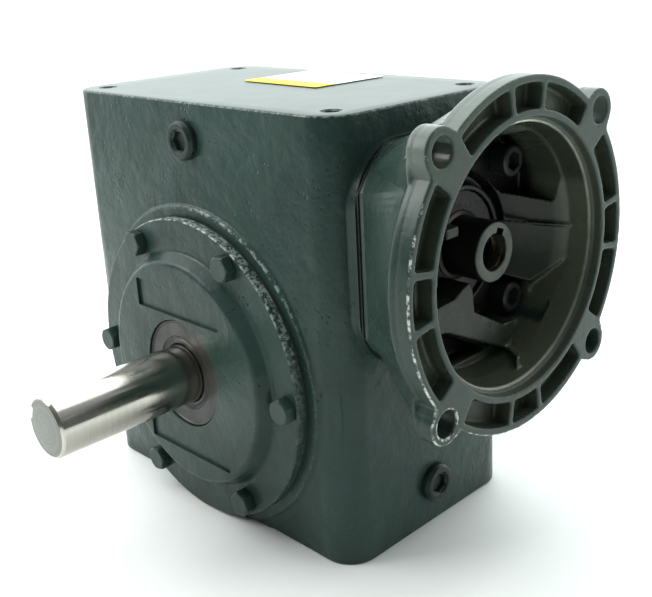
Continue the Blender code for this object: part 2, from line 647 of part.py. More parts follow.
def make_motor_flange():
    faced = FLANGE_FACE + FACING
    flange = turned(
        "flange_blank",
        [
            (RIM_RADIUS, faced),
            (RIM_RADIUS, RIM_BACK),
            FLANGE_SHOULDER,
            (FLANGE_BASE_RADIUS, FLANGE_NECK_END),
            (FLANGE_BASE_RADIUS, FLANGE_BASE),
            (FLANGE_SPIGOT_RADIUS, FLANGE_BASE),
            (FLANGE_SPIGOT_RADIUS, FLANGE_SPIGOT_END),
            (FLANGE_THROAT_RADIUS, FLANGE_SPIGOT_END),
            (FLANGE_THROAT_RADIUS, INPUT_SEAL_SEAT),
            (INPUT_SEAL_BORE, INPUT_SEAL_SEAT),
            (INPUT_SEAL_BORE, BELL_FLOOR),
            (BELL_FLOOR_RADIUS, BELL_FLOOR),
            (BELL_RADIUS, BELL_WALL_END),
            (BELL_RADIUS, FLANGE_FACE - PILOT_DEPTH),
            (PILOT_RADIUS, FLANGE_FACE - PILOT_DEPTH),
            (PILOT_RADIUS, faced),
        ],
        "X",
        INPUT_AXIS,
        40,
        closed=True,
    )
    ears = circle_places(FLANGE_BOLT_RADIUS, 4, 45, "X", INPUT_AXIS)
    cut(flange, neck_flats())
    additions = [rod("ear", EAR_RADIUS, EAR_BACK, faced, "X", place, 16) for place in ears]
    for quarter in range(4):
        additions.append(radial_slab("ear_web", EAR_WEB, EAR_WEB_HALF_THICKNESS, 45 + 90 * quarter))
    join(flange, additions)
    cutters = []
    for quarter in range(4):
        at = 90 * quarter
        for start, end in ((-7.7, 7.7), (10.3, 36.8), (53.2, 79.7)):
            outline = pocket_outline(at + start, at + end)
            cutters.append(slab("rim_pocket", outline, POCKET_FLOOR, faced + REACH, "X", INPUT_AXIS))
    # the screw recesses, above and below the band that runs across the bell
    for edge in RECESS_EDGES:
        cutters.append(slab("recess", recess_outline(edge), RECESS_FLOOR, RECESS_MOUTH, "X", INPUT_AXIS))
    for place in ears:
        cutters.append(rod("ear_hole", EAR_HOLE_RADIUS, EAR_BACK - REACH, faced + REACH, "X", place, 16))
    for place in flange_screw_places():
        ends = (FLANGE_BASE - REACH, BELL_FLOOR)
        cutters.append(bolt_rod("screw_hole", FLANGE_SCREW_SHANK + GAP, *ends, "X", place, 12))
    cutters.append(block("flange_facing", (FLANGE_FACE, -0.2, -0.1), (FLANGE_FACE + 0.05, 0.2, 0.4)))
    cut(flange, cutters)
    return finished(flange, "motor_flange", BARE_ALLOY)


def make_flange_gasket():
    low, high = FLANGE_BOSS_FACE + GAP, FLANGE_BASE - GAP
    hole = ("gasket_hole", FLANGE_SCREW_SHANK + GAP, low - GAP, high + GAP, "X")
    holes = [bolt_rod(*hole, place, 12) for place in flange_screw_places()]
    inner, outer = FRONT_WORM_BORE + GAP, FLANGE_BASE_RADIUS - GAP
    make_ring("flange_gasket", inner, outer, low, high, "X", INPUT_AXIS, 36, GASKET, holes + neck_flats())


def make_flange_screws():
    """Socket cap screws that hold the flange to the housing."""
    head = rod("flange_screw_head", FLANGE_SCREW_HEAD, 0, FLANGE_SCREW_HEAD_HEIGHT, steps=20)
    shank_low = FLANGE_SCREW_END - RECESS_FLOOR
    join(head, [bolt_rod("flange_screw_shank", FLANGE_SCREW_SHANK, shank_low, 0.001, steps=12)])
    ends = (FLANGE_SCREW_HEAD_HEIGHT - 0.005, FLANGE_SCREW_HEAD_HEIGHT + REACH)
    cut(head, [slab("flange_screw_socket", hexagon(FLANGE_SCREW_SOCKET), *ends)])
    first = finished(head, "flange_screw_1", DARK_STEEL)
    lie = Matrix.Rotation(math.pi / 2, 4, "Y")
    places = [(RECESS_FLOOR + GAP, p.y, p.z) for p in flange_screw_places()]
    for index in range(1, 4):
        copied(first, f"flange_screw_{index + 1}", Matrix.Translation(places[index]) @ lie)
    first.matrix_world = Matrix.Translation(places[0]) @ lie


# --- Seals and bearings ---------------------------------------------------------------------


def make_seal(name, outside, shaft, low, high, axis, at, lip_out):
    """A metal-cased lip seal, with its lip turned back from the outer face."""
    lip = shaft + GAP
    case, web, lip_width, lip_length = 0.0015, 0.0022, 0.0025, 0.0050
    back, face = (low, high) if lip_out > 0 else (high, low)
    inward = (back - face) / abs(back - face)
    profile = [
        (outside, face),
        (outside, back),
        (outside - case, back),
        (outside - case, face + inward * web),
        (lip + lip_width, face + inward * web),
        (lip, face + inward * lip_length),
        (lip, face),
    ]
    if lip_out < 0:
        profile.reverse()
    return finished(turned(name + "_blank", profile, axis, at, 24, True), name, SEAL_CASE)


def make_roller_set(name, bearing, axis, at, material):
    """The rollers of one bearing with the cage that spaces them, as one piece."""
    middle = bearing["middle"]
    pitch = bearing["pitch_radius"]
    half = bearing["roller_length"] / 2
    tilt = bearing["tilt"]
    slope = math.tan(tilt)
    thin = 0.0006
    # the cage is a thin band that follows the line of the roller axes
    reach = half + 0.0012
    ends = [(pitch + slope * reach, middle + reach), (pitch - slope * reach, middle - reach)]
    profile = [(r + thin, h) for r, h in ends] + [(r - thin, h) for r, h in reversed(ends)]
    cage = turned(name + "_cage", profile, axis, at, bearing["cage_steps"], closed=True)
    rollers = []
    for index in range(bearing["count"]):
        angle = 2 * math.pi * index / bearing["count"]
        spin = Matrix.Rotation(angle, 4, "Z")
        place = spin @ Matrix.Translation((pitch, 0, middle)) @ Matrix.Rotation(tilt, 4, "Y")
        if bearing["ball"]:
            roller = ball(name + "_ball", bearing["roller_radius"])
        else:
            low_radius = bearing["roller_radius"] * (1 - slope / 4)
            high_radius = bearing["roller_radius"] * (1 + slope / 4)
            roller = rod(name + "_roller", low_radius, -half, half, steps=8, high_radius=high_radius)
        roller.matrix_world = Matrix.Translation(at) @ AXES[axis] @ place
        rollers.append(roller)
    join(cage, rollers)
    return finished(cage, name, material)


def ball(name, radius):
    mesh = bpy.data.meshes.new(name)
    form = bmesh.new()
    bmesh.ops.create_uvsphere(form, u_segments=6, v_segments=4, radius=radius)
    form.to_mesh(mesh)
    form.free()
    return placed(name, mesh, "Z", (0, 0, 0))


def make_output_bearing(side):
    """A tapered roller bearing. Its cup is in the cover and its cone is on the shaft."""
    sign, label = side
    inner, outer = OUTPUT_BEARING_INNER_END, OUTPUT_BEARING_OUTER_END
    low, high = sorted((sign * inner, sign * outer))
    middle = (low + high) / 2
    length = outer - inner
    # both raceways lean so that the rollers run out towards the middle of the shaft
    tilt = -sign * math.radians(12)
    slope = math.tan(tilt)
    pitch = 0.0228
    roller_radius = 0.0036
    race = roller_radius / math.cos(tilt) + 0.0004
    half = length / 2

    def radius_at(height, offset):
        return pitch + offset + slope * (height - middle)

    cone = [
        (radius_at(high, -race), high),
        (radius_at(low, -race), low),
        (OUTPUT_BEARING_BORE + GAP, low),
        (OUTPUT_BEARING_BORE + GAP, high),
    ]
    cup_low, cup_high = sorted((sign * (inner + 0.0015), sign * outer))
    cup = [
        (OUTPUT_BEARING_OUTSIDE, cup_high),
        (OUTPUT_BEARING_OUTSIDE, cup_low),
        (radius_at(cup_low, race + GAP), cup_low),
        (radius_at(cup_high, race + GAP), cup_high),
    ]
    name = "output_bearing_" + label
    finished(turned(name + "_cone_blank", cone, "Y", OUTPUT_AXIS, 24, True), name + "_cone", STEEL)
    finished(turned(name + "_cup_blank", cup, "Y", OUTPUT_AXIS, 24, True), name + "_cup", STEEL)
    bearing = {
        "middle": middle,
        "pitch_radius": pitch,
        "roller_length": 2 * half - 0.0050,
        "roller_radius": roller_radius,
        "tilt": tilt,
        "count": 10,
        "cage_steps": 20,
        "ball": False,
    }
    make_roller_set(name + "_rollers", bearing, "Y", OUTPUT_AXIS, STEEL)


def make_worm_bearing(label, bore, outside, low, high, ball_radius, count):
    """A deep groove ball bearing on the worm."""
    middle = (low + high) / 2
    pitch = (bore + outside) / 2
    groove = ball_radius + 0.0004
    land = ball_radius * 0.62
    inner_land, outer_land = pitch - land, pitch + land
    width = ball_radius * 0.95
    flat = width * 0.4
    inner_ring = [
        (inner_land, high),
        (inner_land, middle + width),
        (pitch - groove, middle + flat),
        (pitch - groove, middle - flat),
        (inner_land, middle - width),
        (inner_land, low),
        (bore, low),
        (bore, high),
    ]
    outer_ring = [
        (outside, high),
        (outside, low),
        (outer_land, low),
        (outer_land, middle - width),
        (pitch + groove, middle - flat),
        (pitch + groove, middle + flat),
        (outer_land, middle + width),
        (outer_land, high),
    ]
    name = "worm_bearing_" + label
    finished(turned(name + "_inner_blank", inner_ring, "X", INPUT_AXIS, 24, True), name + "_inner_ring", STEEL)
    finished(turned(name + "_outer_blank", outer_ring, "X", INPUT_AXIS, 24, True), name + "_outer_ring", STEEL)
    bearing = {
        "middle": middle,
        "pitch_radius": pitch,
        "roller_length": 0.0040,
        "roller_radius": ball_radius,
        "tilt": 0.0,
        "count": count,
        "cage_steps": 2 * count,
        "ball": True,
    }
    make_roller_set(name + "_balls", bearing, "X", INPUT_AXIS, STEEL)


# --- Output shaft and wheel -----------------------------------------------------------------


def make_output_shaft():
    shaft = turned(
        "output_shaft_blank",
        [
            (0, SHAFT_REAR_END),
            (OUTPUT_BEARING_BORE - 0.001, SHAFT_REAR_END),
            (OUTPUT_BEARING_BORE, SHAFT_REAR_END - 0.001),
            (OUTPUT_BEARING_BORE, OUTPUT_BEARING_INNER_END - GAP),
            (WHEEL_SEAT_RADIUS, OUTPUT_BEARING_INNER_END - GAP),
            (WHEEL_SEAT_RADIUS, -WHEEL_HUB_HALF_LENGTH - GAP),
            (SHAFT_COLLAR_RADIUS, -WHEEL_HUB_HALF_LENGTH - GAP),
            (SHAFT_COLLAR_RADIUS, -SHAFT_COLLAR_ENDS[0]),
            (WHEEL_SEAT_RADIUS, -SHAFT_COLLAR_ENDS[1]),
            (WHEEL_SEAT_RADIUS, -OUTPUT_BEARING_INNER_END + GAP),
            (OUTPUT_BEARING_BORE, -OUTPUT_BEARING_INNER_END + GAP),
            (OUTPUT_BEARING_BORE, -SHAFT_STEP[0]),
            (SHAFT_RADIUS, -SHAFT_STEP[1]),
            (SHAFT_RADIUS, -SHAFT_END + SHAFT_CHAMFER),
            (SHAFT_RADIUS - SHAFT_CHAMFER, -SHAFT_END),
            (0, -SHAFT_END),
        ],
        "Y",
        OUTPUT_AXIS,
        28,
    )
    half = SHAFT_KEYWAY_WIDTH / 2
    end_keyway = block(
        "end_keyway",
        (-half, -SHAFT_END - REACH, SHAFT_RADIUS - SHAFT_KEYWAY_DEPTH),
        (half, -SHAFT_END + SHAFT_KEYWAY_LENGTH, SHAFT_RADIUS + REACH),
    )
    end_keyway.matrix_world = Matrix.Translation(OUTPUT_AXIS) @ Matrix.Rotation(SHAFT_KEYWAY_ANGLE, 4, "Y")
    half = KEY_WIDTH / 2 + GAP
    floor = OUTPUT_Z + WHEEL_SEAT_RADIUS - KEY_WIDTH / 2
    reach = WHEEL_KEY_HALF_LENGTH
    wheel_keyway = block("wheel_keyway", (-half, -reach, floor), (half, reach, floor + REACH))
    cut(shaft, [end_keyway, wheel_keyway])
    return finished(shaft, "output_shaft", STEEL)


def make_wheel_key():
    half = KEY_WIDTH / 2
    middle = OUTPUT_Z + WHEEL_SEAT_RADIUS
    low = (-half, GAP - WHEEL_KEY_HALF_LENGTH, middle - half + GAP)
    high = (half, WHEEL_KEY_HALF_LENGTH - GAP, middle + half - GAP)
    return finished(block("wheel_key_blank", low, high), "wheel_key", DARK_STEEL)


def involute(angle):
    return math.tan(angle) - angle


def tooth_half_angle(radius):
    """Half the angle that a wheel tooth takes up at a radius."""
    base = WHEEL_PITCH_RADIUS * math.cos(PRESSURE_ANGLE)
    here = math.acos(min(1, base / radius))
    at_pitch = (AXIAL_PITCH / 4 - FLANK_CLEARANCE) / WHEEL_PITCH_RADIUS
    return at_pitch + involute(PRESSURE_ANGLE) - involute(here)


def make_toothed_ring():
    """The wheel's rim. Its teeth are lofted between sections that fan out from the worm's axis,
    so that each gap follows the thread and the rim is hollowed round the worm."""
    root_from_worm = CENTRE_DISTANCE - (WHEEL_PITCH_RADIUS - 1.2 * MODULE)
    tip_from_worm = CENTRE_DISTANCE - (WHEEL_PITCH_RADIUS + 0.85 * MODULE)
    root_angle = tooth_half_angle(WHEEL_PITCH_RADIUS - 1.2 * MODULE)
    tip_angle = tooth_half_angle(WHEEL_PITCH_RADIUS + 0.85 * MODULE)
    pitch_angle = 2 * math.pi / WHEEL_TEETH
    fans = [math.radians(a) for a in (36, 18, 0, -18, -36)]
    form = bmesh.new()
    rows = []
    for fan in fans:
        row = []
        shift = AXIAL_PITCH * fan / (2 * math.pi) / WHEEL_PITCH_RADIUS
        for tooth in range(WHEEL_TEETH):
            middle = (tooth + 0.5) * pitch_angle + shift
            corners = (
                (root_from_worm, -root_angle),
                (tip_from_worm, -tip_angle),
                (tip_from_worm, tip_angle),
                (root_from_worm, root_angle),
            )
            for reach, angle in corners:
                radius = CENTRE_DISTANCE - reach * math.cos(fan)
                place = (radius * math.cos(middle + angle), radius * math.sin(middle + angle), reach * math.sin(fan))
                row.append(form.verts.new(place))
        rows.append(row)
    side = root_from_worm * math.sin(fans[0])
    for height in (-side, side):
        ring = []
        for tooth in range(WHEEL_TEETH):
            middle = (tooth + 0.5) * pitch_angle
            place = (WHEEL_RIM_BORE * math.cos(middle), WHEEL_RIM_BORE * math.sin(middle), height)
            ring.append(form.verts.new(place))
        rows.append(ring)
    outer_rows, low_ring, high_ring = rows[:5], rows[5], rows[6]
    count = 4 * WHEEL_TEETH
    for upper, lower in zip(outer_rows, outer_rows[1:]):
        for i in range(count):
            j = (i + 1) % count
            form.faces.new((upper[i], lower[i], lower[j], upper[j]))
    for row, ring, flip in ((outer_rows[0], high_ring, False), (outer_rows[-1], low_ring, True)):
        for tooth in range(WHEEL_TEETH):
            after = (tooth + 1) % WHEEL_TEETH
            corners = row[4 * tooth : 4 * tooth + 4]
            faces = [(ring[tooth], corners[0], corners[1], corners[2], corners[3])]
            faces.append((ring[tooth], corners[3], row[4 * after], ring[after]))
            for face in faces:
                form.faces.new(face[::-1] if flip else face)
    for tooth in range(WHEEL_TEETH):
        after = (tooth + 1) % WHEEL_TEETH
        form.faces.new((high_ring[tooth], high_ring[after], low_ring[after], low_ring[tooth]))
    bmesh.ops.triangulate(form, faces=form.faces)
    bmesh.ops.recalc_face_normals(form, faces=form.faces)
    mesh = bpy.data.meshes.new("toothed_ring")
    form.to_mesh(mesh)
    form.free()
    return placed("toothed_ring", mesh, "Y", OUTPUT_AXIS)


def make_worm_wheel():
    bore = WHEEL_SEAT_RADIUS + GAP
    hub = turned(
        "wheel_hub",
        [
            (WHEEL_HUB_RADIUS, WHEEL_HUB_HALF_LENGTH),
            (WHEEL_HUB_RADIUS, WHEEL_WEB_HALF_LENGTH),
            (WHEEL_WEB_RADIUS, WHEEL_WEB_HALF_LENGTH),
            (WHEEL_WEB_RADIUS, -WHEEL_WEB_HALF_LENGTH),
            (WHEEL_HUB_RADIUS, -WHEEL_WEB_HALF_LENGTH),
            (WHEEL_HUB_RADIUS, -WHEEL_HUB_HALF_LENGTH),
            (bore, -WHEEL_HUB_HALF_LENGTH),
            (bore, WHEEL_HUB_HALF_LENGTH),
        ],
        "Y",
        OUTPUT_AXIS,
        24,
        closed=True,
    )
    join(hub, [make_toothed_ring()])
    half = KEY_WIDTH / 2 + GAP
    top = OUTPUT_Z + WHEEL_SEAT_RADIUS + KEY_WIDTH / 2
    cut(hub, [block("hub_keyway", (-half, -0.05, OUTPUT_Z), (half, 0.05, top))])
    return finished(hub, "worm_wheel", BRONZE)


def make_wheel_spacer():
    low, high = WHEEL_HUB_HALF_LENGTH + 2 * GAP, OUTPUT_BEARING_INNER_END - 2 * GAP
    make_ring("wheel_spacer", WHEEL_SEAT_RADIUS + GAP, SHAFT_COLLAR_RADIUS, low, high, "Y", OUTPUT_AXIS, 24, STEEL)


# --- Worm -----------------------------------------------------------------------------------


def make_thread():
    """A rack tooth swept round the worm. It starts above the axis, clear of the wheel."""
    slope = math.tan(PRESSURE_ANGLE)
    half_pitch_line = AXIAL_PITCH / 4 - FLANK_CLEARANCE
    base_radius = WORM_ROOT_RADIUS - 0.0008
    half_tip = half_pitch_line - (WORM_TIP_RADIUS - WORM_PITCH_RADIUS) * slope
    half_base = half_pitch_line + (WORM_PITCH_RADIUS - base_radius) * slope
    start = -THREAD_TURNS / 2 * AXIAL_PITCH
    form = bmesh.new()
    corners = [
        form.verts.new((start - half_base, 0, base_radius)),
        form.verts.new((start - half_tip, 0, WORM_TIP_RADIUS)),
        form.verts.new((start + half_tip, 0, WORM_TIP_RADIUS)),
        form.verts.new((start + half_base, 0, base_radius)),
    ]
    form.faces.new(corners)
    steps = THREAD_TURNS * THREAD_STEPS
    bmesh.ops.spin(
        form,
        geom=form.verts[:] + form.edges[:] + form.faces[:],
        cent=(0, 0, 0),
        axis=(1, 0, 0),
        dvec=(AXIAL_PITCH / THREAD_STEPS, 0, 0),
        angle=THREAD_TURNS * 2 * math.pi,
        steps=steps,
    )
    # a slight turn along the helix keeps the thread's corners off the corners of the core
    bmesh.ops.rotate(form, matrix=Matrix.Rotation(THREAD_PHASE, 3, "X"), verts=form.verts)
    bmesh.ops.translate(form, vec=(AXIAL_PITCH * THREAD_PHASE / (2 * math.pi), 0, 0), verts=form.verts)
    bmesh.ops.recalc_face_normals(form, faces=form.faces)
    mesh = bpy.data.meshes.new("thread")
    form.to_mesh(mesh)
    form.free()
    return placed("thread", mesh, "Z", INPUT_AXIS)


def make_worm():
    worm = turned(
        "worm_blank",
        [
            (0, QUILL_BORE_END),
            (QUILL_BORE_RADIUS, QUILL_BORE_END),
            (QUILL_BORE_RADIUS, QUILL_END),
            (QUILL_RADIUS, QUILL_END),
            (QUILL_RADIUS, QUILL_STEP[1]),
            (FRONT_JOURNAL_RADIUS, QUILL_STEP[0]),
            (FRONT_JOURNAL_RADIUS, WORM_SHOULDER_ENDS[1]),
            (WORM_SHOULDER_RADIUS, WORM_SHOULDER_ENDS[1]),
            (WORM_SHOULDER_RADIUS, WORM_SHOULDER_ENDS[0]),
            (WORM_BODY_RADIUS, WORM_SHOULDER_ENDS[0] - 0.002),
            (WORM_BODY_RADIUS, WORM_CORE_ENDS[1]),
            (WORM_ROOT_RADIUS, WORM_CORE_ENDS[0]),
            (WORM_ROOT_RADIUS, -WORM_CORE_ENDS[0]),
            (WORM_BODY_RADIUS, -WORM_CORE_ENDS[1]),
            (WORM_BODY_RADIUS, -REAR_JOURNAL_ENDS[0]),
            (REAR_JOURNAL_RADIUS, -REAR_JOURNAL_ENDS[0]),
            (REAR_JOURNAL_RADIUS, -REAR_JOURNAL_ENDS[1]),
            (0, -REAR_JOURNAL_ENDS[1]),
        ],
        "X",
        INPUT_AXIS,
        24,
    )
    join(worm, [make_thread()])
    half = QUILL_KEYWAY_WIDTH / 2
    low = (QUILL_BORE_END + 0.005, -half, 0)
    high = (QUILL_END + REACH, half, QUILL_KEYWAY_TOP)
    keyway = block("quill_keyway", low, high)
    keyway.matrix_world = Matrix.Translation(INPUT_AXIS) @ Matrix.Rotation(QUILL_KEYWAY_ANGLE, 4, "X")
    cut(worm, [keyway])
    return finished(worm, "worm_shaft", STEEL)


def make_worm_end_cap():
    cap = turned(
        "worm_end_cap_blank",
        [
            (0, -0.0965),
            (0.0220, -0.0965),
            (0.0225, -0.0945),
            (0.0260, -0.0945),
            (0.0260, -0.0995),
            (0.0240, -0.0995),
            (0.0235, -0.0980),
            (0, -0.0980),
        ],
        "X",
        INPUT_AXIS,
        24,
    )
    return finished(cap, "worm_end_cap", DARK_STEEL)


def main():
    make_housing()
    make_output_cover()
    make_closed_cover()
    make_cover_gaskets()
    make_cover_bolts()
    make_pipe_plugs()
    make_label()
    make_motor_flange()
    make_flange_gasket()
    make_flange_screws()
    make_seal("output_seal", SEAL_RADIUS, SHAFT_RADIUS, -0.0706, -0.0625, "Y", OUTPUT_AXIS, -1)
    make_seal("input_seal", 0.0234, FRONT_JOURNAL_RADIUS, 0.1037, 0.1117, "X", INPUT_AXIS, 1)
    for side in ((-1, "front"), (1, "rear")):
        make_output_bearing(side)
    make_worm_bearing("front", FRONT_JOURNAL_RADIUS + GAP, 0.0310, 0.0800, 0.0958, 0.0043, 9)
    make_worm_bearing("rear", REAR_JOURNAL_RADIUS + GAP, 0.0260, -0.0935, -0.0780, 0.0036, 9)
    make_output_shaft()
    make_wheel_key()
    make_worm_wheel()
    make_wheel_spacer()
    make_worm()
    make_worm_end_cap()


main()
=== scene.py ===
"""A painted cast-iron worm gear reducer on a pale floor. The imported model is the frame: the castings,
shafts, fasteners and seals that show are rebuilt in finer detail on top of it."""

import json
import math

import bmesh
import bpy
from mathutils import Matrix, Vector

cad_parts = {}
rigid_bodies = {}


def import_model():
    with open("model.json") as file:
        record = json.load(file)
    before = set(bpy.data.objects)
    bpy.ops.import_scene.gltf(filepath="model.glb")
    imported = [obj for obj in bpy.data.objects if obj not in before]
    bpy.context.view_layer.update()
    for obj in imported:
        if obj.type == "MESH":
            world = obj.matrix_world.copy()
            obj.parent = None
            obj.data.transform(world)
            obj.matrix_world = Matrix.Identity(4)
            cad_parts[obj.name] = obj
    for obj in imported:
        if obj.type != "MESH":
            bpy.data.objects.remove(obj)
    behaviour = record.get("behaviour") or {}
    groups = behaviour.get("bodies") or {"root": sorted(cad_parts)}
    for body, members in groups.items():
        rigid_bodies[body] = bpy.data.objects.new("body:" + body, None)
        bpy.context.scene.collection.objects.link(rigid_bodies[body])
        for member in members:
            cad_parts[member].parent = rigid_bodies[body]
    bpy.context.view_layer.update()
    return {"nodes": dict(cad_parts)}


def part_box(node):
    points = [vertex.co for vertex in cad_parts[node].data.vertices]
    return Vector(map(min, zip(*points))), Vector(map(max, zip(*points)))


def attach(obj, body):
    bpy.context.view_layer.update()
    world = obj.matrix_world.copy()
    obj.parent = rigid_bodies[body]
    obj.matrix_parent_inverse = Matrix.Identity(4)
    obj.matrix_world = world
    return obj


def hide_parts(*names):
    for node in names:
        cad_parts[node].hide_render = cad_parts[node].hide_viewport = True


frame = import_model()
NODES = frame["nodes"]

# Main sizes, as in the model
OUTPUT_Z = 0.075
INPUT_Z = 0.141675
OUTPUT_AXIS = (0, 0, OUTPUT_Z)
INPUT_AXIS = (0, 0, INPUT_Z)
HALF_LENGTH = 0.095
HALF_WIDTH = 0.057
HEIGHT = 0.203
CORNER_RADIUS = 0.015
COVER_FRONT = 0.0652
COVER_CENTRE_FACE = 0.0715
FLANGE_FACE = 0.1466
FLANGE_BASE = 0.1000
FLANGE_BOLT_RADIUS = 0.0746125
SHAFT_RADIUS = 0.0142875
SHAFT_END = 0.1434
MODULE = 0.1 / 30
AXIAL_PITCH = math.pi * MODULE
WORM_PITCH_RADIUS = 0.016675
COVER_BOLT_CIRCLE = 0.0675
FLANGE_SCREW_CIRCLE = 0.0445
SIDE_PLUG_HEIGHT = 0.1855
END_PLUG_HEIGHT = 0.021
NECK_SLOPE = 0.676

# Camera
CAMERA_TARGET = Vector((0.019593, 0.019938, 0.114839))
CAMERA_AZIMUTH = 0.794
CAMERA_ELEVATION = 0.301
CAMERA_ROLL = -0.049
CAMERA_DISTANCE = 0.491906
CAMERA_LENS = 52.64
CAMERA_SHIFT = (-0.0242, -0.0666)

# Studio
FLOOR_HALF_WIDTH = 6.0
WORLD_FRONT = 0.16
WORLD_BACK = 2.6
WORLD_TOP = 0.5
TOP_POWER = 9
LEFT_POWER = 6.3
RIGHT_POWER = 4.5

AXES = {
    "X": Matrix(((0, 0, 1), (1, 0, 0), (0, 1, 0))).to_4x4(),
    "Y": Matrix(((0, 1, 0), (0, 0, 1), (1, 0, 0))).to_4x4(),
    "Z": Matrix.Identity(4),
}


# --- Mesh building --------------------------------------------------------------------------

HELPERS = bpy.data.collections.new("helpers")
PIECES = bpy.data.collections.new("pieces")
bpy.context.scene.collection.children.link(HELPERS)
bpy.context.scene.collection.children.link(PIECES)


def placed(name, mesh, axis="Z", at=(0, 0, 0)):
    obj = bpy.data.objects.new(name, mesh)
    HELPERS.objects.link(obj)
    obj.matrix_world = Matrix.Translation(at) @ AXES[axis]
    return obj


def solid(name, form, axis="Z", at=(0, 0, 0)):
    """Puts a finished form into an object."""
    mesh = bpy.data.meshes.new(name)
    form.to_mesh(mesh)
    form.free()
    return placed(name, mesh, axis, at)


def arc(radius, start, end, steps, centre=(0, 0)):
    """Points on an arc, with its angles in degrees."""
    angles = [math.radians(start + (end - start) * i / steps) for i in range(steps + 1)]
    return [(centre[0] + radius * math.cos(a), centre[1] + radius * math.sin(a)) for a in angles]


def softened(points, radii, closed=True, steps=4):
    """A polyline with each corner rounded by its own radius."""
    result = []
    count = len(points)
    for i, (point, radius) in enumerate(zip(points, radii)):
        here = Vector(point)
        if radius == 0 or (not closed and i in (0, count - 1)):
            result.append(tuple(here))
            continue
        before = Vector(points[i - 1]) - here
        after = Vector(points[(i + 1) % count]) - here
        half = before.angle(after) / 2
        reach = min(radius / math.tan(half), 0.45 * before.length, 0.45 * after.length)
        radius = reach * math.tan(half)
        centre = here + (before.normalized() + after.normalized()).normalized() * radius / math.sin(half)
        first = here + before.normalized() * reach - centre
        last = here + after.normalized() * reach - centre
        sweep = first.angle_signed(last)
        for step in range(steps + 1):
            turn = Matrix.Rotation(-sweep * step / steps, 2)
            result.append(tuple(centre + turn @ first))
    return result


def turned(name, profile, axis="Z", at=(0, 0, 0), steps=96, closed=True):
    """Turns a profile of (radius, height) points, which run down the outer side."""
    count = len(profile)
    edges = [(i, i + 1) for i in range(count - 1)]
    if closed:
        edges.append((count - 1, 0))
    mesh = bpy.data.meshes.new(name)
    mesh.from_pydata([(radius, 0, height) for radius, height in profile], edges, [])
    obj = placed(name, mesh, axis, at)
    screw = obj.modifiers.new("turn", "SCREW")
    screw.steps = steps
    screw.render_steps = steps
    screw.use_merge_vertices = True
    screw.merge_threshold = 0.00001
    return obj


def rod(name, radius, low, high, axis="Z", at=(0, 0, 0), steps=48, high_radius=None, turn=0.0):
    form = bmesh.new()
    bmesh.ops.create_cone(
        form,
        cap_ends=True,
        segments=steps,
        radius1=radius,
        radius2=radius if high_radius is None else high_radius,
        depth=high - low,
    )
    bmesh.ops.rotate(form, matrix=Matrix.Rotation(turn, 3, "Z"), verts=form.verts)
    bmesh.ops.translate(form, vec=(0, 0, (low + high) / 2), verts=form.verts)
    return solid(name, form, axis, at)


def block(name, low, high):
    form = bmesh.new()
    bmesh.ops.create_cube(form, size=1)
    bmesh.ops.scale(form, vec=[b - a for a, b in zip(low, high)], verts=form.verts)
    bmesh.ops.translate(form, vec=[(a + b) / 2 for a, b in zip(low, high)], verts=form.verts)
    return solid(name, form)


def hull(name, points):
    """The convex solid round a set of points."""
    form = bmesh.new()
    bmesh.ops.convex_hull(form, input=[form.verts.new(point) for point in points])
    spare = [v for v in form.verts if not v.link_faces]
    bmesh.ops.delete(form, geom=spare, context="VERTS")
    bmesh.ops.recalc_face_normals(form, faces=form.faces)
    return solid(name, form)


def slab(name, outline, low, high, axis="Z", at=(0, 0, 0)):
    """A flat outline given a thickness from low to high along its axis."""
    form = bmesh.new()
    face = form.faces.new([form.verts.new((u, v, low)) for u, v in outline])
    raised = bmesh.ops.extrude_face_region(form, geom=[face])
    top = [g for g in raised["geom"] if isinstance(g, bmesh.types.BMVert)]
    bmesh.ops.translate(form, vec=(0, 0, high - low), verts=top)
    bmesh.ops.recalc_face_normals(form, faces=form.faces)
    return solid(name, form, axis, at)


def rounded_rectangle(half_u, half_v, radius, steps):
    outline = []
    for quarter, (side_u, side_v) in enumerate(((1, 1), (-1, 1), (-1, -1), (1, -1))):
        centre = (side_u * (half_u - radius), side_v * (half_v - radius))
        outline += arc(radius, 90 * quarter, 90 * quarter + 90, steps, centre)
    return outline


def combine(target, others, operation):
    for other in others:
        boolean = target.modifiers.new(other.name, "BOOLEAN")
        boolean.operation = operation
        boolean.solver = "EXACT"
        boolean.object = other


def join(target, others):
    combine(target, others, "UNION")


def cut(target, others):
    combine(target, others, "DIFFERENCE")


def bevelled(obj, width, segments=2, angle=40):
    bevel = obj.modifiers.new("bevel", "BEVEL")
    bevel.width = width
    bevel.segments = segments
    bevel.limit_method = "ANGLE"
    bevel.angle_limit = math.radians(angle)
    return obj


def baked(obj):
    """The object's mesh with its modifiers applied."""
    bpy.context.view_layer.update()
    graph = bpy.context.evaluated_depsgraph_get()
    mesh = bpy.data.meshes.new_from_object(obj.evaluated_get(graph))
    obj.modifiers.clear()
    obj.data = mesh
    return mesh


def remeshed(obj, voxel, smoothing):
    """Melts joined shapes into one skin with the soft edges of a casting."""
    remesh = obj.modifiers.new("skin", "REMESH")
    remesh.mode = "VOXEL"
    remesh.voxel_size = voxel
    smooth = obj.modifiers.new("soften", "SMOOTH")
    smooth.factor = 0.5
    smooth.iterations = smoothing
    return obj


def shown(obj, name, body, material, nodes=(), sharp=35):
    """Applies an object's modifiers and shows it in place of CAD nodes."""
    mesh = baked(obj)
    mesh.materials.clear()
    mesh.materials.append(material)
    mesh.shade_smooth()
    if sharp:
        mesh.set_sharp_from_angle(angle=math.radians(sharp))
    obj.name = name
    mesh.name = name
    HELPERS.objects.unlink(obj)
    PIECES.objects.link(obj)
    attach(obj, body)
    if nodes:
        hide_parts(*nodes)
    return obj


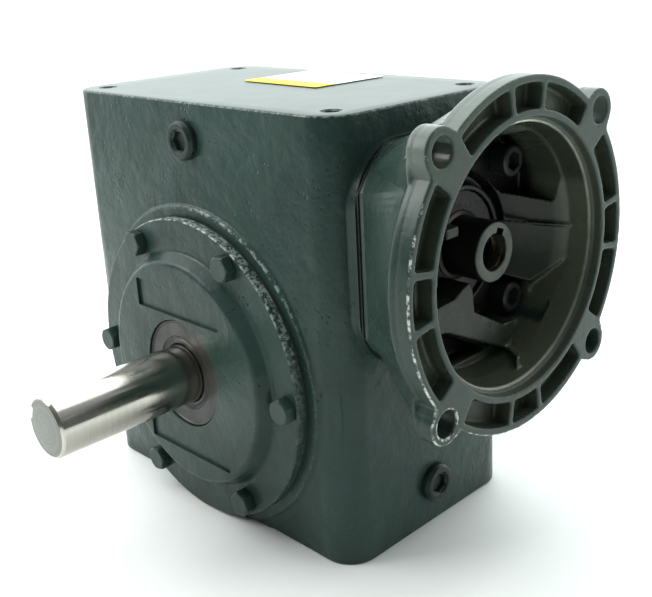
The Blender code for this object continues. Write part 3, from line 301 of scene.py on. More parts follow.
def repeated(source, ending, seats, material):
    """Shows a fixed piece in place of each CAD node in seats, which gives the nodes' matrices."""
    first = None
    for node, matrix in seats.items():
        if first is None:
            source.matrix_world = matrix
            first = shown(source, node + ending, "housing", material, [node], sharp=30)
            continue
        other = bpy.data.objects.new(node + ending, first.data)
        other.matrix_world = matrix
        PIECES.objects.link(other)
        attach(other, "housing")
        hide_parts(node)


def circle_places(radius, count, start, axis, at):
    """Points spread evenly on a circle about an axis, starting at an angle in degrees."""
    place = Matrix.Translation(at) @ AXES[axis]
    step = 2 * math.pi / count
    arm = Matrix.Translation((radius, 0, 0))
    angles = [math.radians(start) + step * i for i in range(count)]
    return [(place @ Matrix.Rotation(a, 4, "Z") @ arm).translation for a in angles]


def cover_bolt_places():
    return circle_places(COVER_BOLT_CIRCLE, 6, 30, "Y", OUTPUT_AXIS)


def flange_screw_places():
    return circle_places(FLANGE_SCREW_CIRCLE, 4, 45, "X", INPUT_AXIS)


# --- Materials ------------------------------------------------------------------------------


class Nodes:
    """Builds a material's node tree."""

    def __init__(self, name):
        self.material = bpy.data.materials.new(name)
        self.material.use_nodes = True
        self.tree = self.material.node_tree
        self.shader = self.tree.nodes["Principled BSDF"]
        self.place = self.tree.nodes.new("ShaderNodeTexCoord").outputs["Object"]

    def node(self, kind, **inputs):
        node = self.tree.nodes.new(kind)
        for name, value in inputs.items():
            self.feed(node.inputs[name.replace("_", " ")], value)
        return node

    def feed(self, socket, value):
        if isinstance(value, bpy.types.NodeSocket):
            self.tree.links.new(value, socket)
        else:
            socket.default_value = value

    def noise(self, scale, detail=4, roughness=0.55, place=None, distortion=0.0):
        node = self.node("ShaderNodeTexNoise", Scale=scale, Detail=detail, Roughness=roughness)
        self.feed(node.inputs["Distortion"], distortion)
        self.feed(node.inputs["Vector"], place or self.place)
        return node.outputs["Fac"]

    def cells(self, scale):
        return self.node("ShaderNodeTexVoronoi", Scale=scale, Vector=self.place).outputs["Distance"]

    def math(self, operation, a, b):
        node = self.tree.nodes.new("ShaderNodeMath")
        node.operation = operation
        self.feed(node.inputs[0], a)
        self.feed(node.inputs[1], b)
        return node.outputs[0]

    def times(self, first, *others):
        for other in others:
            first = self.math("MULTIPLY", first, other)
        return first

    def circles(self, across, fineness):
        """Noise that changes only with the distance from an axis."""
        place = self.node("ShaderNodeCombineXYZ", X=self.times(across, fineness)).outputs[0]
        return self.noise(1.0, detail=2, place=place)

    def ramp(self, value, low, high, start=0.0, end=1.0):
        """Maps value from low..high to start..end, smoothly."""
        node = self.tree.nodes.new("ShaderNodeMapRange")
        node.interpolation_type = "SMOOTHSTEP"
        self.feed(node.inputs["Value"], value)
        node.inputs["From Min"].default_value = low
        node.inputs["From Max"].default_value = high
        node.inputs["To Min"].default_value = start
        node.inputs["To Max"].default_value = end
        return node.outputs["Result"]

    def mix(self, factor, a, b):
        node = self.tree.nodes.new("ShaderNodeMix")
        node.data_type = "RGBA"
        self.feed(node.inputs["Factor"], factor)
        self.feed(node.inputs[6], a if isinstance(a, bpy.types.NodeSocket) else (*a, 1))
        self.feed(node.inputs[7], b if isinstance(b, bpy.types.NodeSocket) else (*b, 1))
        return node.outputs[2]

    def axis(self, letter):
        return self.node("ShaderNodeSeparateXYZ", Vector=self.place).outputs[letter]

    def stretched(self, scale):
        node = self.tree.nodes.new("ShaderNodeMapping")
        node.inputs["Scale"].default_value = scale
        self.feed(node.inputs["Vector"], self.place)
        return node.outputs["Vector"]

    def distance_from(self, point, flatten=(1, 1, 1), place=None):
        """The distance from a point, in metres, with some axes left out by a 0 in flatten."""
        moved = self.tree.nodes.new("ShaderNodeVectorMath")
        moved.operation = "SUBTRACT"
        self.feed(moved.inputs[0], place or self.place)
        moved.inputs[1].default_value = point
        flat = self.tree.nodes.new("ShaderNodeVectorMath")
        flat.operation = "MULTIPLY"
        self.feed(flat.inputs[0], moved.outputs[0])
        flat.inputs[1].default_value = flatten
        length = self.tree.nodes.new("ShaderNodeVectorMath")
        length.operation = "LENGTH"
        self.feed(length.inputs[0], flat.outputs[0])
        return length.outputs["Value"]

    def fade(self, value, low, high):
        """Falls from 1 at low to 0 at high."""
        return self.ramp(value, low, high, 1.0, 0.0)

    def band(self, value, low, high, soft):
        """1 between low and high, 0 outside."""
        rise = self.ramp(value, low - soft, low + soft)
        return self.times(rise, self.fade(value, high - soft, high + soft))

    def bump(self, height, distance, strength=1.0, below=None):
        node = self.node("ShaderNodeBump", Strength=strength, Distance=distance, Height=height)
        if below is not None:
            self.feed(node.inputs["Normal"], below)
        return node.outputs["Normal"]

    def finish(self, **inputs):
        for name, value in inputs.items():
            self.feed(self.shader.inputs[name.replace("_", " ")], value)
        return self.material


def shade(colour, factor):
    return tuple(c * factor for c in colour)


def cast_paint(name, colour, grain=1.0, wear_and_light=None, gloss=(0.26, 0.40), machined_above=None):
    """Thick sprayed enamel over a sand casting. The function given for wear paints bare metal and painted
    light and shade into the colour, and gives a mask of bare metal and its strength.
    """
    n = Nodes(name)
    fine = n.noise(1100, detail=3, roughness=0.6)
    peel = n.noise(420, detail=4, roughness=0.55)
    lumps = n.noise(95, detail=3, roughness=0.5)
    broad = n.noise(18, detail=4, roughness=0.6, distortion=0.4)
    pits = n.ramp(n.cells(330), 0.0, 0.35)
    pit_places = n.ramp(n.noise(60, detail=2), 0.56, 0.66)
    pit_depth = n.times(n.math("SUBTRACT", 1.0, pits), pit_places)
    base = n.mix(n.ramp(broad, 0.3, 0.72), shade(colour, 0.78), shade(colour, 1.2))
    base = n.mix(n.ramp(peel, 0.42, 0.75, 0.0, 0.25), base, shade(colour, 1.5))
    base = n.mix(n.times(pit_depth, 0.6), base, shade(colour, 0.35))
    rough = n.ramp(n.noise(40, detail=5), 0.3, 0.7, *gloss)
    metallic = 0.0
    if wear_and_light:
        base, bare = wear_and_light(n, base)
        metallic = n.times(bare, 0.4)
        rough = n.math("ADD", rough, n.times(bare, 0.12))
    height = n.math("ADD", n.times(fine, 0.12), n.times(peel, 0.55))
    height = n.math("SUBTRACT", height, n.times(pit_depth, 0.9))
    cast = 1.0
    if machined_above:
        cast = n.ramp(n.axis("Z"), machined_above - 0.0006, machined_above - 0.0001, 1.0, 0.12)
        rough = n.mix(cast, (0.33, 0.33, 0.33), rough)
    normal = n.bump(lumps, 0.0009 * grain, cast)
    normal = n.bump(height, 0.00028 * grain, cast, below=normal)
    n.finish(Specular_IOR_Level=0.22)
    return n.finish(Base_Color=base, Roughness=rough, Metallic=metallic, Normal=normal)


BARE_METAL = (0.66, 0.68, 0.65)


def housing_wear_and_shade(n, base):
    """Paint rubbed thin on the edge of the output cover's boss, most of all above and to the right, and
    painted shade on the motor flange's boss.
    """
    edge = n.band(n.distance_from(OUTPUT_AXIS, (1, 0, 1)), 0.0780, 0.0795, 0.0004)
    front = n.ramp(n.axis("Y"), -0.0580, -0.0584)
    place = n.ramp(n.distance_from((0.035, -0.059, OUTPUT_Z + 0.070)), 0.020, 0.055, 1.0, 0.12)
    broken = n.ramp(n.noise(420, detail=6, roughness=0.75), 0.47, 0.56)
    rubbed = n.times(edge, front, place, broken)
    top = n.ramp(n.axis("Z"), HEIGHT - 0.0012, HEIGHT - 0.0005)
    below_top = n.fade(n.axis("Z"), HEIGHT - 0.0003, HEIGHT - 0.0001)
    rubbed_top = n.times(top, below_top, broken, 0.25)
    bare = n.math("MAXIMUM", n.times(rubbed, 0.42), rubbed_top)
    # Painted shade: the motor flange's boss, beyond the housing's end face, is darkened.
    on_boss = n.ramp(n.axis("X"), HALF_LENGTH + 0.0002, HALF_LENGTH + 0.0010, 0.0, 0.6)
    base = n.mix(on_boss, base, (0.009, 0.018, 0.015))
    return n.mix(bare, base, (0.55, 0.60, 0.57)), n.times(bare, 0.6)


def cover_wear_and_highlight(n, base):
    """A thin rubbed line round the edge of the cover's flange, brightest above as a painted highlight, in the
    cover's own frame.
    """
    edge = n.band(n.distance_from((0, 0, 0), (1, 1, 0)), 0.0738, 0.0750, 0.0003)
    broken = n.ramp(n.noise(420, detail=6, roughness=0.75), 0.44, 0.60)
    # Painted highlight: the rubbed line is made brightest towards the top of the cover.
    above = n.ramp(n.distance_from((0.070, 0.025, -0.065)), 0.03, 0.09, 0.85, 0.1)
    bare = n.times(edge, broken, above)
    return n.mix(bare, base, (0.42, 0.48, 0.45)), n.times(bare, 0.4)


def flange_wear_and_light(n, base):
    """Bare metal where the rim has been knocked and a machined pilot edge, with painted shade deep in the
    bell and on its upper wall and floor, a far wall painted lighter as if lit, and a painted highlight on the
    top of the rim.
    """
    radius = n.distance_from(INPUT_AXIS, (0, 1, 1))
    x = n.axis("X")
    across = n.node("ShaderNodeVectorMath")
    across.operation = "SUBTRACT"
    n.feed(across.inputs[0], n.place)
    across.inputs[1].default_value = INPUT_AXIS
    folded = n.node("ShaderNodeVectorMath")
    folded.operation = "ABSOLUTE"
    n.feed(folded.inputs[0], across.outputs[0])
    ear_at = FLANGE_BOLT_RADIUS / math.sqrt(2)
    ear = n.distance_from((0, ear_at, ear_at), (0, 1, 1), folded.outputs[0])
    outside_ear = n.ramp(ear, 0.0086, 0.0094)
    ring = n.times(n.band(radius, 0.0729, 0.0748, 0.0003), outside_ear)
    ear_edge = n.times(n.ramp(ear, 0.0080, 0.0087), n.ramp(radius, 0.0725, 0.0740))
    hole_edge = n.times(n.band(ear, 0.0054, 0.0068, 0.0002), 0.8)
    forward = n.ramp(x, FLANGE_FACE - 0.0012, FLANGE_FACE - 0.0004)
    low_near = n.distance_from((FLANGE_FACE, -0.062, INPUT_Z - 0.036), (0.3, 1, 0.55))
    knocked = n.fade(low_near, 0.015, 0.062)
    hole_edge = n.times(hole_edge, n.ramp(low_near, 0.02, 0.05, 1.0, 0.1))
    edges = n.math("MAXIMUM", n.math("MAXIMUM", ring, ear_edge), hole_edge)
    coarse = n.noise(430, detail=6, roughness=0.75)
    far_side = n.times(n.ramp(n.axis("Y"), 0.045, 0.066), 0.60)
    bottom = n.fade(n.distance_from((FLANGE_FACE, -0.014, INPUT_Z - 0.072)), 0.022, 0.042)
    knocked = n.math("MAXIMUM", n.math("MAXIMUM", knocked, far_side), bottom)
    level = n.math("ADD", coarse, n.times(knocked, 0.17))
    strength = n.ramp(knocked, 0.0, 0.5, 0.4, 0.95)
    gaps = n.ramp(n.noise(150, detail=3), 0.43, 0.55, 0.12, 1.0)
    chips = n.times(n.ramp(level, 0.61, 0.68), edges, forward, strength, gaps)
    speckle = n.ramp(n.noise(700, detail=4), 0.3, 0.7, 0.5, 1.0)
    face = n.times(n.ramp(x, FLANGE_FACE - 0.0006, FLANGE_FACE - 0.0001), speckle)
    base = n.mix(n.times(face, 0.8), base, (0.040, 0.054, 0.044))
    sides = n.node("ShaderNodeSeparateXYZ", Vector=folded.outputs[0])
    from_middle = n.math("MAXIMUM", sides.outputs["Y"], sides.outputs["Z"])
    from_flat = n.math("SUBTRACT", from_middle, n.times(x, NECK_SLOPE))
    inside = n.times(n.fade(radius, 0.0554, 0.0568), n.fade(from_flat, -0.0250, -0.0238))
    in_pockets = n.times(
        n.ramp(radius, 0.0590, 0.0598),
        n.fade(x, FLANGE_FACE - 0.0018, FLANGE_FACE - 0.0008),
        n.fade(radius, 0.0708, 0.0715),
        n.ramp(x, 0.1374, 0.1384),
    )
    base = n.mix(n.times(n.math("MAXIMUM", inside, in_pockets), 0.85), base, (0.042, 0.048, 0.033))
    bore = n.times(n.band(radius, 0.0564, 0.0578, 0.0002), n.band(x, 0.1424, FLANGE_FACE - 0.0006, 0.0002))
    base = n.mix(n.times(bore, 0.8), base, (0.058, 0.064, 0.048))
    pilot = n.times(n.band(radius, 0.0542, 0.0556, 0.0001), n.band(x, 0.1410, 0.1425, 0.0001))
    pilot_place = n.ramp(n.distance_from((0.142, 0.030, INPUT_Z + 0.045)), 0.025, 0.06, 1.0, 0.3)
    pilot = n.times(pilot, pilot_place, n.ramp(n.noise(90, detail=3), 0.35, 0.6, 0.4, 1.0))
    base = n.mix(n.times(pilot, 0.9), base, (0.72, 0.70, 0.58))
    # Painted light: the far wall inside the bell is made lighter, as if lit.
    wall = n.times(inside, n.ramp(radius, 0.0500, 0.0525), n.ramp(n.axis("Y"), -0.010, 0.030))
    base = n.mix(n.times(wall, 0.8), base, (0.075, 0.086, 0.060))
    # Painted shadow on the upper part of the wall inside the bell.
    above = n.times(inside, n.ramp(n.axis("Z"), INPUT_Z + 0.018, INPUT_Z + 0.026))
    above = n.times(above, n.fade(x, 0.1412, 0.1418))
    base = n.mix(n.times(above, 0.7), base, (0.014, 0.019, 0.014))
    # Painted shade on the middle of the floor inside the bell.
    floor_level = n.fade(x, 0.1270, 0.1310)
    middle = n.times(inside, floor_level, n.fade(radius, 0.0470, 0.0510))
    base = n.mix(n.times(middle, 0.9), base, (0.009, 0.012, 0.008))
    # Painted shade: near black, deepest in the bell.
    deep = n.fade(x, 0.1125, 0.1190)
    base = n.mix(n.times(inside, deep, 0.92), base, (0.004, 0.0045, 0.004))
    lit = n.times(n.ramp(radius, 0.0722, 0.0730), n.ramp(n.axis("Z"), INPUT_Z + 0.025, INPUT_Z + 0.060))
    lit = n.times(lit, n.ramp(x, FLANGE_FACE - 0.0012, FLANGE_FACE - 0.0005, 0.75, 0.0))
    lit = n.times(lit, n.ramp(x, 0.1360, 0.1364))
    base = n.mix(lit, base, (0.150, 0.175, 0.155))
    base = n.mix(chips, base, BARE_METAL)
    return base, n.math("MAXIMUM", chips, n.times(pilot, 0.8))


def shaft_material():
    """Ground steel: fine rings round the shaft's own Z, and a duller sawn end."""
    n = Nodes("shaft_steel")
    colour = (0.52, 0.50, 0.45)
    rings = n.noise(1.0, detail=4, roughness=0.7, place=n.stretched((30, 30, 2600)))
    haze = n.noise(55, detail=5, roughness=0.65)
    spots = n.ramp(n.noise(240, detail=4, roughness=0.7), 0.62, 0.74)
    base = n.mix(n.ramp(rings, 0.3, 0.7), shade(colour, 0.86), colour)
    base = n.mix(n.times(spots, 0.25), base, (0.30, 0.22, 0.14))
    rough = n.math("ADD", n.ramp(haze, 0.3, 0.7, 0.10, 0.20), n.times(spots, 0.15))
    end = n.fade(n.axis("Z"), -SHAFT_END + 0.0001, -SHAFT_END + 0.0003)
    circles = n.circles(n.distance_from((0, 0, 0), (1, 1, 0)), 900.0)
    dull = n.mix(n.ramp(circles, 0.3, 0.7), (0.15, 0.155, 0.14), (0.22, 0.225, 0.21))
    base = n.mix(end, base, dull)
    rough = n.math("MAXIMUM", rough, n.times(end, 0.38))
    return n.finish(Base_Color=base, Roughness=rough, Metallic=1.0, Normal=n.bump(rings, 0.000012))


def quill_material():
    """The worm: oiled steel outside, darkened nearly to black as painted shade, and a brown bore where the
    motor shaft has fretted.
    """
    n = Nodes("quill_steel")
    across = n.distance_from((0, 0, 0), (1, 1, 0))
    bore = n.times(n.fade(across, 0.0081, 0.0084), n.ramp(n.axis("Z"), 0.065, 0.068))
    rings = n.noise(1.0, detail=4, roughness=0.7, place=n.stretched((40, 40, 1500)))
    cloud = n.noise(120, detail=5, roughness=0.65)
    # Painted shade: the outside is darkened nearly to black.
    base = n.mix(n.ramp(cloud, 0.35, 0.7), (0.012, 0.013, 0.011), (0.024, 0.025, 0.021))
    end = n.ramp(n.axis("Z"), 0.1296, 0.1302)
    base = n.mix(end, base, n.mix(n.ramp(cloud, 0.35, 0.7), (0.036, 0.043, 0.036), (0.062, 0.070, 0.059)))
    scored = n.ramp(n.noise(1.0, detail=3, place=n.stretched((60, 60, 900))), 0.60, 0.66)
    base = n.mix(bore, base, n.mix(n.ramp(cloud, 0.4, 0.65), (0.016, 0.015, 0.011), (0.070, 0.068, 0.052)))
    base = n.mix(n.times(bore, scored, 0.7), base, (0.62, 0.52, 0.26))
    rough = n.ramp(rings, 0.3, 0.7, 0.30, 0.45)
    return n.finish(Base_Color=base, Roughness=rough, Metallic=0.75, Normal=n.bump(rings, 0.00002))


def plain_metal(name, colour, roughness, bump=0.00004, metallic=1.0):
    n = Nodes(name)
    speck = n.noise(700, detail=4, roughness=0.65)
    cloud = n.noise(45, detail=4)
    base = n.mix(n.ramp(cloud, 0.3, 0.7), shade(colour, 0.7), shade(colour, 1.15))
    rough = n.ramp(speck, 0.3, 0.7, roughness * 0.8, roughness * 1.25)
    return n.finish(Base_Color=base, Roughness=rough, Metallic=metallic, Normal=n.bump(speck, bump))


def seal_material():
    """The rubber-coated metal face of a lip seal, stained brown with oil."""
    n = Nodes("seal_face")
    across = n.distance_from((0, 0, 0), (1, 1, 0))
    streak = n.noise(130, detail=5, roughness=0.7)
    rings = n.circles(across, 1500.0)
    base = n.mix(n.ramp(streak, 0.35, 0.7), (0.008, 0.0075, 0.006), (0.026, 0.022, 0.017))
    near_shaft = n.fade(across, 0.0165, 0.0195)
    base = n.mix(n.times(near_shaft, 0.8), base, (0.006, 0.006, 0.005))
    rough = n.ramp(streak, 0.3, 0.7, 0.34, 0.6)
    return n.finish(Base_Color=base, Roughness=rough, Normal=n.bump(rings, 0.00005))


def gasket_material():
    n = Nodes("gasket_fibre")
    fibre = n.noise(900, detail=5, roughness=0.8)
    base = n.mix(fibre, (0.016, 0.024, 0.021), (0.030, 0.042, 0.037))
    return n.finish(Base_Color=base, Roughness=0.85, Normal=n.bump(fibre, 0.0001))


def label_material():
    """Printed film: a yellow band along the front edge and white above it."""
    n = Nodes("label_print")
    dirt = n.noise(160, detail=5, roughness=0.7)
    band = n.fade(n.axis("Y"), -0.01120, -0.01110)
    white = n.mix(n.ramp(dirt, 0.5, 0.8), (0.93, 0.95, 0.94), (0.78, 0.80, 0.78))
    yellow = n.mix(n.ramp(dirt, 0.5, 0.8), (0.88, 0.60, 0.07), (0.78, 0.52, 0.06))
    base = n.mix(band, white, yellow)
    normal = n.bump(n.noise(70, detail=2), 0.00008)
    return n.finish(Base_Color=base, Roughness=0.6, Specular_IOR_Level=0.15, Normal=normal)


def bronze_material():
    n = Nodes("wheel_bronze")
    cut_marks = n.noise(1.0, detail=4, place=n.stretched((200, 200, 1800)))
    tarnish = n.noise(50, detail=5, roughness=0.6)
    base = n.mix(n.ramp(tarnish, 0.3, 0.75), (0.60, 0.38, 0.15), (0.38, 0.23, 0.10))
    rough = n.ramp(cut_marks, 0.3, 0.7, 0.22, 0.42)
    return n.finish(Base_Color=base, Roughness=rough, Metallic=1.0, Normal=n.bump(cut_marks, 0.00003))


HOUSING_PAINT = cast_paint("housing_enamel", (0.021, 0.043, 0.0365), wear_and_light=housing_wear_and_shade, machined_above=HEIGHT)
COVER_PAINT = cast_paint("cover_enamel", (0.020, 0.040, 0.034), grain=0.8, wear_and_light=cover_wear_and_highlight)
FLANGE_PAINT = cast_paint(
    "flange_enamel", (0.026, 0.045, 0.038), grain=0.35, wear_and_light=flange_wear_and_light, gloss=(0.22, 0.36)
)
BOLT_PAINT = cast_paint("bolt_enamel", (0.022, 0.042, 0.036), grain=0.45)
PLUG_PAINT = cast_paint("plug_enamel", (0.014, 0.026, 0.022), grain=0.4)
SHAFT_STEEL = shaft_material()
QUILL_STEEL = quill_material()
BEARING_STEEL = plain_metal("bearing_steel", (0.62, 0.62, 0.60), 0.2)
SCREW_STEEL = plain_metal("screw_black_steel", (0.022, 0.025, 0.022), 0.42, bump=0.0001, metallic=0.5)
SEAL = seal_material()
# Black rubber, darkened nearly to black as painted shade in the hollow of the bell.
INPUT_SEAL = plain_metal("input_seal_face", (0.004, 0.004, 0.004), 0.6, metallic=0.0)
GASKET = gasket_material()
LABEL = label_material()
BRONZE = bronze_material()
JOINT = plain_metal("flange_joint", (0.005, 0.006, 0.005), 0.7, metallic=0.0)


# --- Housing --------------------------------------------------------------------------------


def make_housing():
    outline = rounded_rectangle(HALF_LENGTH, HALF_WIDTH, CORNER_RADIUS, 14)
    body = bevelled(slab("housing_body", outline, 0.0, HEIGHT), 0.0011, 3, 60)
    baked(body)
    bosses = []
    for sign in (-1, 1):
        points = [(0.090, 0.0540), (0.0845, 0.0571), (0.0802, 0.0575), (0.0790, 0.0590)]
        points += [(0.0, 0.0590), (0.0, 0.0540)]
        radii = [0, 0.004, 0.0035, 0.0007, 0, 0]
        profile = softened(points, radii, steps=4)
        profile = profile[:-2] + [(0.050, 0.0590), (0.050, 0.0540)]
        profile = [(r, sign * h) for r, h in profile]
        if sign > 0:
            profile.reverse()
        bosses.append(turned("cover_boss", profile, "Y", OUTPUT_AXIS, 144))
    outline = rounded_rectangle(0.0492, 0.0492, 0.0270, 16)
    bosses.append(slab("flange_boss", outline, 0.0900, 0.0986, "X", INPUT_AXIS))
    points = [(0.0460, -0.0935), (0.0440, -0.0951), (0.0412, -0.0960)]
    points += [(0.0400, -0.1000), (0.030, -0.1000), (0.030, -0.0935)]
    rear_boss = softened(points, [0, 0.003, 0.003, 0.0012, 0, 0], steps=4)
    bosses.append(turned("rear_boss", rear_boss, "X", INPUT_AXIS, 96))
    for boss in bosses:
        baked(boss)
    inside = rounded_rectangle(0.084, 0.046, 0.024, 8)
    cut(body, [slab("cavity", inside, 0.010, HEIGHT - 0.010)])
    join(body, bosses)
    join(
        body,
        [
            rod("front_bearing_boss", 0.039, 0.078, 0.087, "X", INPUT_AXIS),
            rod("rear_bearing_boss", 0.033, -0.087, -0.076, "X", INPUT_AXIS),
        ],
    )
    holes = [
        block("below_base", (-0.2, -0.2, -0.1), (0.2, 0.2, 0)),
        block("above_top", (-0.2, -0.2, HEIGHT), (0.2, 0.2, 0.3)),
        rod("cover_bore_front", 0.062, -0.079, -0.040, "Y", OUTPUT_AXIS, 96),
        rod("cover_bore_back", 0.062, 0.040, 0.079, "Y", OUTPUT_AXIS, 96),
        rod("worm_bore_front", 0.0313, 0.070, 0.12, "X", INPUT_AXIS),
        rod("worm_bore_rear", 0.0263, -0.12, -0.070, "X", INPUT_AXIS),
    ]
    for sign in (-1, 1):
        low, high = sorted((sign * 0.08, sign * 0.040))
        holes.append(rod("side_plug_hole", 0.0067, low, high, "Y", (0, 0, SIDE_PLUG_HEIGHT), 24))
        low, high = sorted((sign * 0.12, sign * 0.078))
        holes.append(rod("end_plug_hole", 0.0067, low, high, "X", (0, 0, END_PLUG_HEIGHT), 24))
        for x in (-0.082, 0.082):
            at = (x, sign * 0.0434, 0)
            holes.append(rod("top_hole", 0.004, HEIGHT - 0.016, HEIGHT + 0.02, "Z", at, 28))
            holes.append(rod("base_hole", 0.004, -0.02, 0.016, "Z", at, 28))
            holes.append(rod("top_sink", 0.0026, HEIGHT - 0.0022, HEIGHT + 0.0008, "Z", at, 28, 0.0056))
            holes.append(rod("base_sink", 0.0056, -0.0008, 0.0022, "Z", at, 28, 0.0026))
        for place in cover_bolt_places():
            low, high = sorted((sign * 0.079, sign * 0.0480))
            holes.append(rod("cover_bolt_hole", 0.0034, low, high, "Y", place, 12, turn=math.pi / 12))
    for place in flange_screw_places():
        holes.append(rod("flange_screw_hole", 0.0051, 0.0845, 0.12, "X", place, 16, turn=math.pi / 16))
    cut(body, holes)
    return shown(body, "housing_casting", "housing", HOUSING_PAINT, ["housing"])


# --- Covers ---------------------------------------------------------------------------------


def make_output_cover():
    points = [
        (0.0360, -0.0380), (0.0360, -0.0520), (0.0617, -0.0540), (0.0617, -0.0604),
        (0.0745, -0.0604), (0.0745, -0.0652), (0.0588, -0.0652), (0.0548, -0.0715),
        (0.0267, -0.0715), (0.0267, -0.0620), (0.0190, -0.0620), (0.0190, -0.0548),
        (0.0299, -0.0548), (0.0299, -0.0380),
    ]
    radii = [0.0005, 0.003, 0.001, 0.0003, 0.0004, 0.0009, 0.0022, 0.0034, 0.0004, 0, 0.0003, 0, 0, 0.0003]
    cover = turned("cover_body", softened(points, radii, steps=5), "Y", OUTPUT_AXIS, 144)
    baked(cover)
    cutters = []
    for sign in (-1, 1):
        outline = rounded_rectangle(0.0310, 0.0070, 0.0009, 3)
        seat = (0, 0, OUTPUT_Z + sign * 0.0355)
        panel = slab("panel", [(v, u) for u, v in outline], -0.0900, -COVER_CENTRE_FACE + 0.0014, "Y", seat)
        cutters.append(panel)
    for place in cover_bolt_places():
        cutters.append(rod("cover_hole", 0.0034, -0.090, -0.0590, "Y", place, 16, turn=math.pi / 16))
    cut(cover, cutters)
    return shown(cover, "output_cover_casting", "housing", COVER_PAINT, ["output_cover"])


def make_closed_cover():
    points = [
        (0.0, 0.0700), (0.0505, 0.0700), (0.0545, 0.0652), (0.0745, 0.0652), (0.0745, 0.0604),
        (0.0617, 0.0604), (0.0617, 0.0540), (0.0360, 0.0520), (0.0360, 0.0380), (0.0299, 0.0380),
        (0.0299, 0.0548), (0.0200, 0.0548), (0.0200, 0.0600), (0.0, 0.0600),
    ]
    radii = [0, 0.0032, 0.0022, 0.0009, 0.0004, 0.0003, 0.001, 0.003, 0.0005, 0.0003, 0, 0, 0, 0]
    profile = softened(points, radii, closed=False, steps=5)
    cover = turned("closed_body", profile, "Y", OUTPUT_AXIS, 144, closed=False)
    baked(cover)
    cutters = []
    for place in cover_bolt_places():
        cutters.append(rod("cover_hole", 0.0034, 0.0590, 0.090, "Y", place, 16, turn=math.pi / 16))
    cut(cover, cutters)
    return shown(cover, "closed_cover_casting", "housing", COVER_PAINT, ["closed_cover"])


def hexagon(flats):
    return arc(flats / math.sqrt(3), 0, 300, 5)


def make_cover_bolts():
    """Hexagon heads with a turned chamfer and a slightly dished top."""
    high = 0.0050
    head = slab("bolt_head", hexagon(0.0111), 0.0, high)
    points = [(0.0, high - 0.0003), (0.0040, high), (0.0052, high)]
    points += [(0.0070, high - 0.0011), (0.0070, -0.001), (0.0, -0.001)]
    profile = softened(points, [0, 0, 0.0005, 0, 0, 0], closed=False)
    dome = turned("bolt_dome", profile, steps=48, closed=False)
    baked(dome)
    combine(head, [dome], "INTERSECT")
    shank = rod("bolt_shank", 0.0031, -0.0162, 0.001, steps=16)
    join(head, [shank])
    bevelled(head, 0.00025, 2, 40)
    baked(head)
    towards = {-1: Matrix.Rotation(math.pi / 2, 4, "X"), 1: Matrix.Rotation(-math.pi / 2, 4, "X")}
    twists = (4, 31, 47, 12, 24, 55)
    seats = {}
    for sign, name in ((-1, "output_cover_bolt"), (1, "closed_cover_bolt")):
        for index, place in enumerate(cover_bolt_places()):
            seat = Matrix.Translation((place.x, sign * (COVER_FRONT + 0.0003), place.z))
            twist = Matrix.Rotation(math.radians(twists[index]), 4, "Z")
            seats[f"{name}_{index + 1}"] = seat @ towards[sign] @ twist
    repeated(head, "_head", seats, BOLT_PAINT)


def make_plugs():
    """Pipe plugs with a rounded collar and a hexagon socket."""
    points = [
        (0.0, 0.0030), (0.0050, 0.0030), (0.0058, 0.0042), (0.0080, 0.0042), (0.0093, 0.0026),
        (0.0093, 0.0003), (0.0064, 0.0003), (0.0062, -0.0105), (0.0, -0.0105),
    ]
    radii = [0, 0, 0.0006, 0.0010, 0.0010, 0.0003, 0, 0.0005, 0]
    plug = turned("plug_body", softened(points, radii, closed=False), steps=64, closed=False)
    baked(plug)
    cut(plug, [slab("plug_socket", hexagon(0.0088), 0.0008, 0.03)])
    bevelled(plug, 0.0002, 2, 40)
    baked(plug)
    quarter = math.pi / 2
    seats = (
        ("front_plug", (0, -HALF_WIDTH, SIDE_PLUG_HEIGHT), Matrix.Rotation(quarter, 4, "X")),
        ("back_plug", (0, HALF_WIDTH, SIDE_PLUG_HEIGHT), Matrix.Rotation(-quarter, 4, "X")),
        ("flange_side_plug", (HALF_LENGTH, 0, END_PLUG_HEIGHT), Matrix.Rotation(quarter, 4, "Y")),
        ("rear_side_plug", (-HALF_LENGTH, 0, END_PLUG_HEIGHT), Matrix.Rotation(-quarter, 4, "Y")),
    )
    seats = {name: Matrix.Translation(seat) @ rotation for name, seat, rotation in seats}
    repeated(plug, "_body", seats, PLUG_PAINT)


def make_label():
    low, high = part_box("rating_label")
    middle = (Vector(low) + Vector(high)) / 2
    outline = rounded_rectangle(0.028, 0.023, 0.0012, 4)
    film = bevelled(slab("film", outline, -0.0002, 0.0001), 0.00005, 1, 60)
    film.matrix_world = Matrix.Translation(middle) @ Matrix.Rotation(math.radians(-2.5), 4, "Z")
    return shown(film, "rating_label_film", "housing", LABEL, ["rating_label"])


# --- Motor flange ---------------------------------------------------------------------------


def square_neck(mesh):
    """Draws the neck in towards a square with rounded corners, where it meets the housing."""
    for vert in mesh.vertices:
        radius = math.hypot(vert.co.x, vert.co.y)
        if radius < 0.045 or vert.co.z > 0.1345:
            continue
        share = min(1.0, max(0.0, (0.1345 - vert.co.z) / 0.0315))
        across = max(abs(vert.co.x), abs(vert.co.y)) / radius
        square = min(1.0, 0.0485 / across / 0.0574)
        scale = 1 - share * (1 - square)
        vert.co.x *= scale
        vert.co.y *= scale


# distance along X, radius and half width of the web behind each ear
WEB_POINTS = (
    (0.1015, 0.0450, 0.0040), (0.1015, 0.0572, 0.0025), (0.1372, 0.0560, 0.0040),
    (0.1372, 0.0690, 0.0165), (0.1372, 0.0790, 0.0080),
)


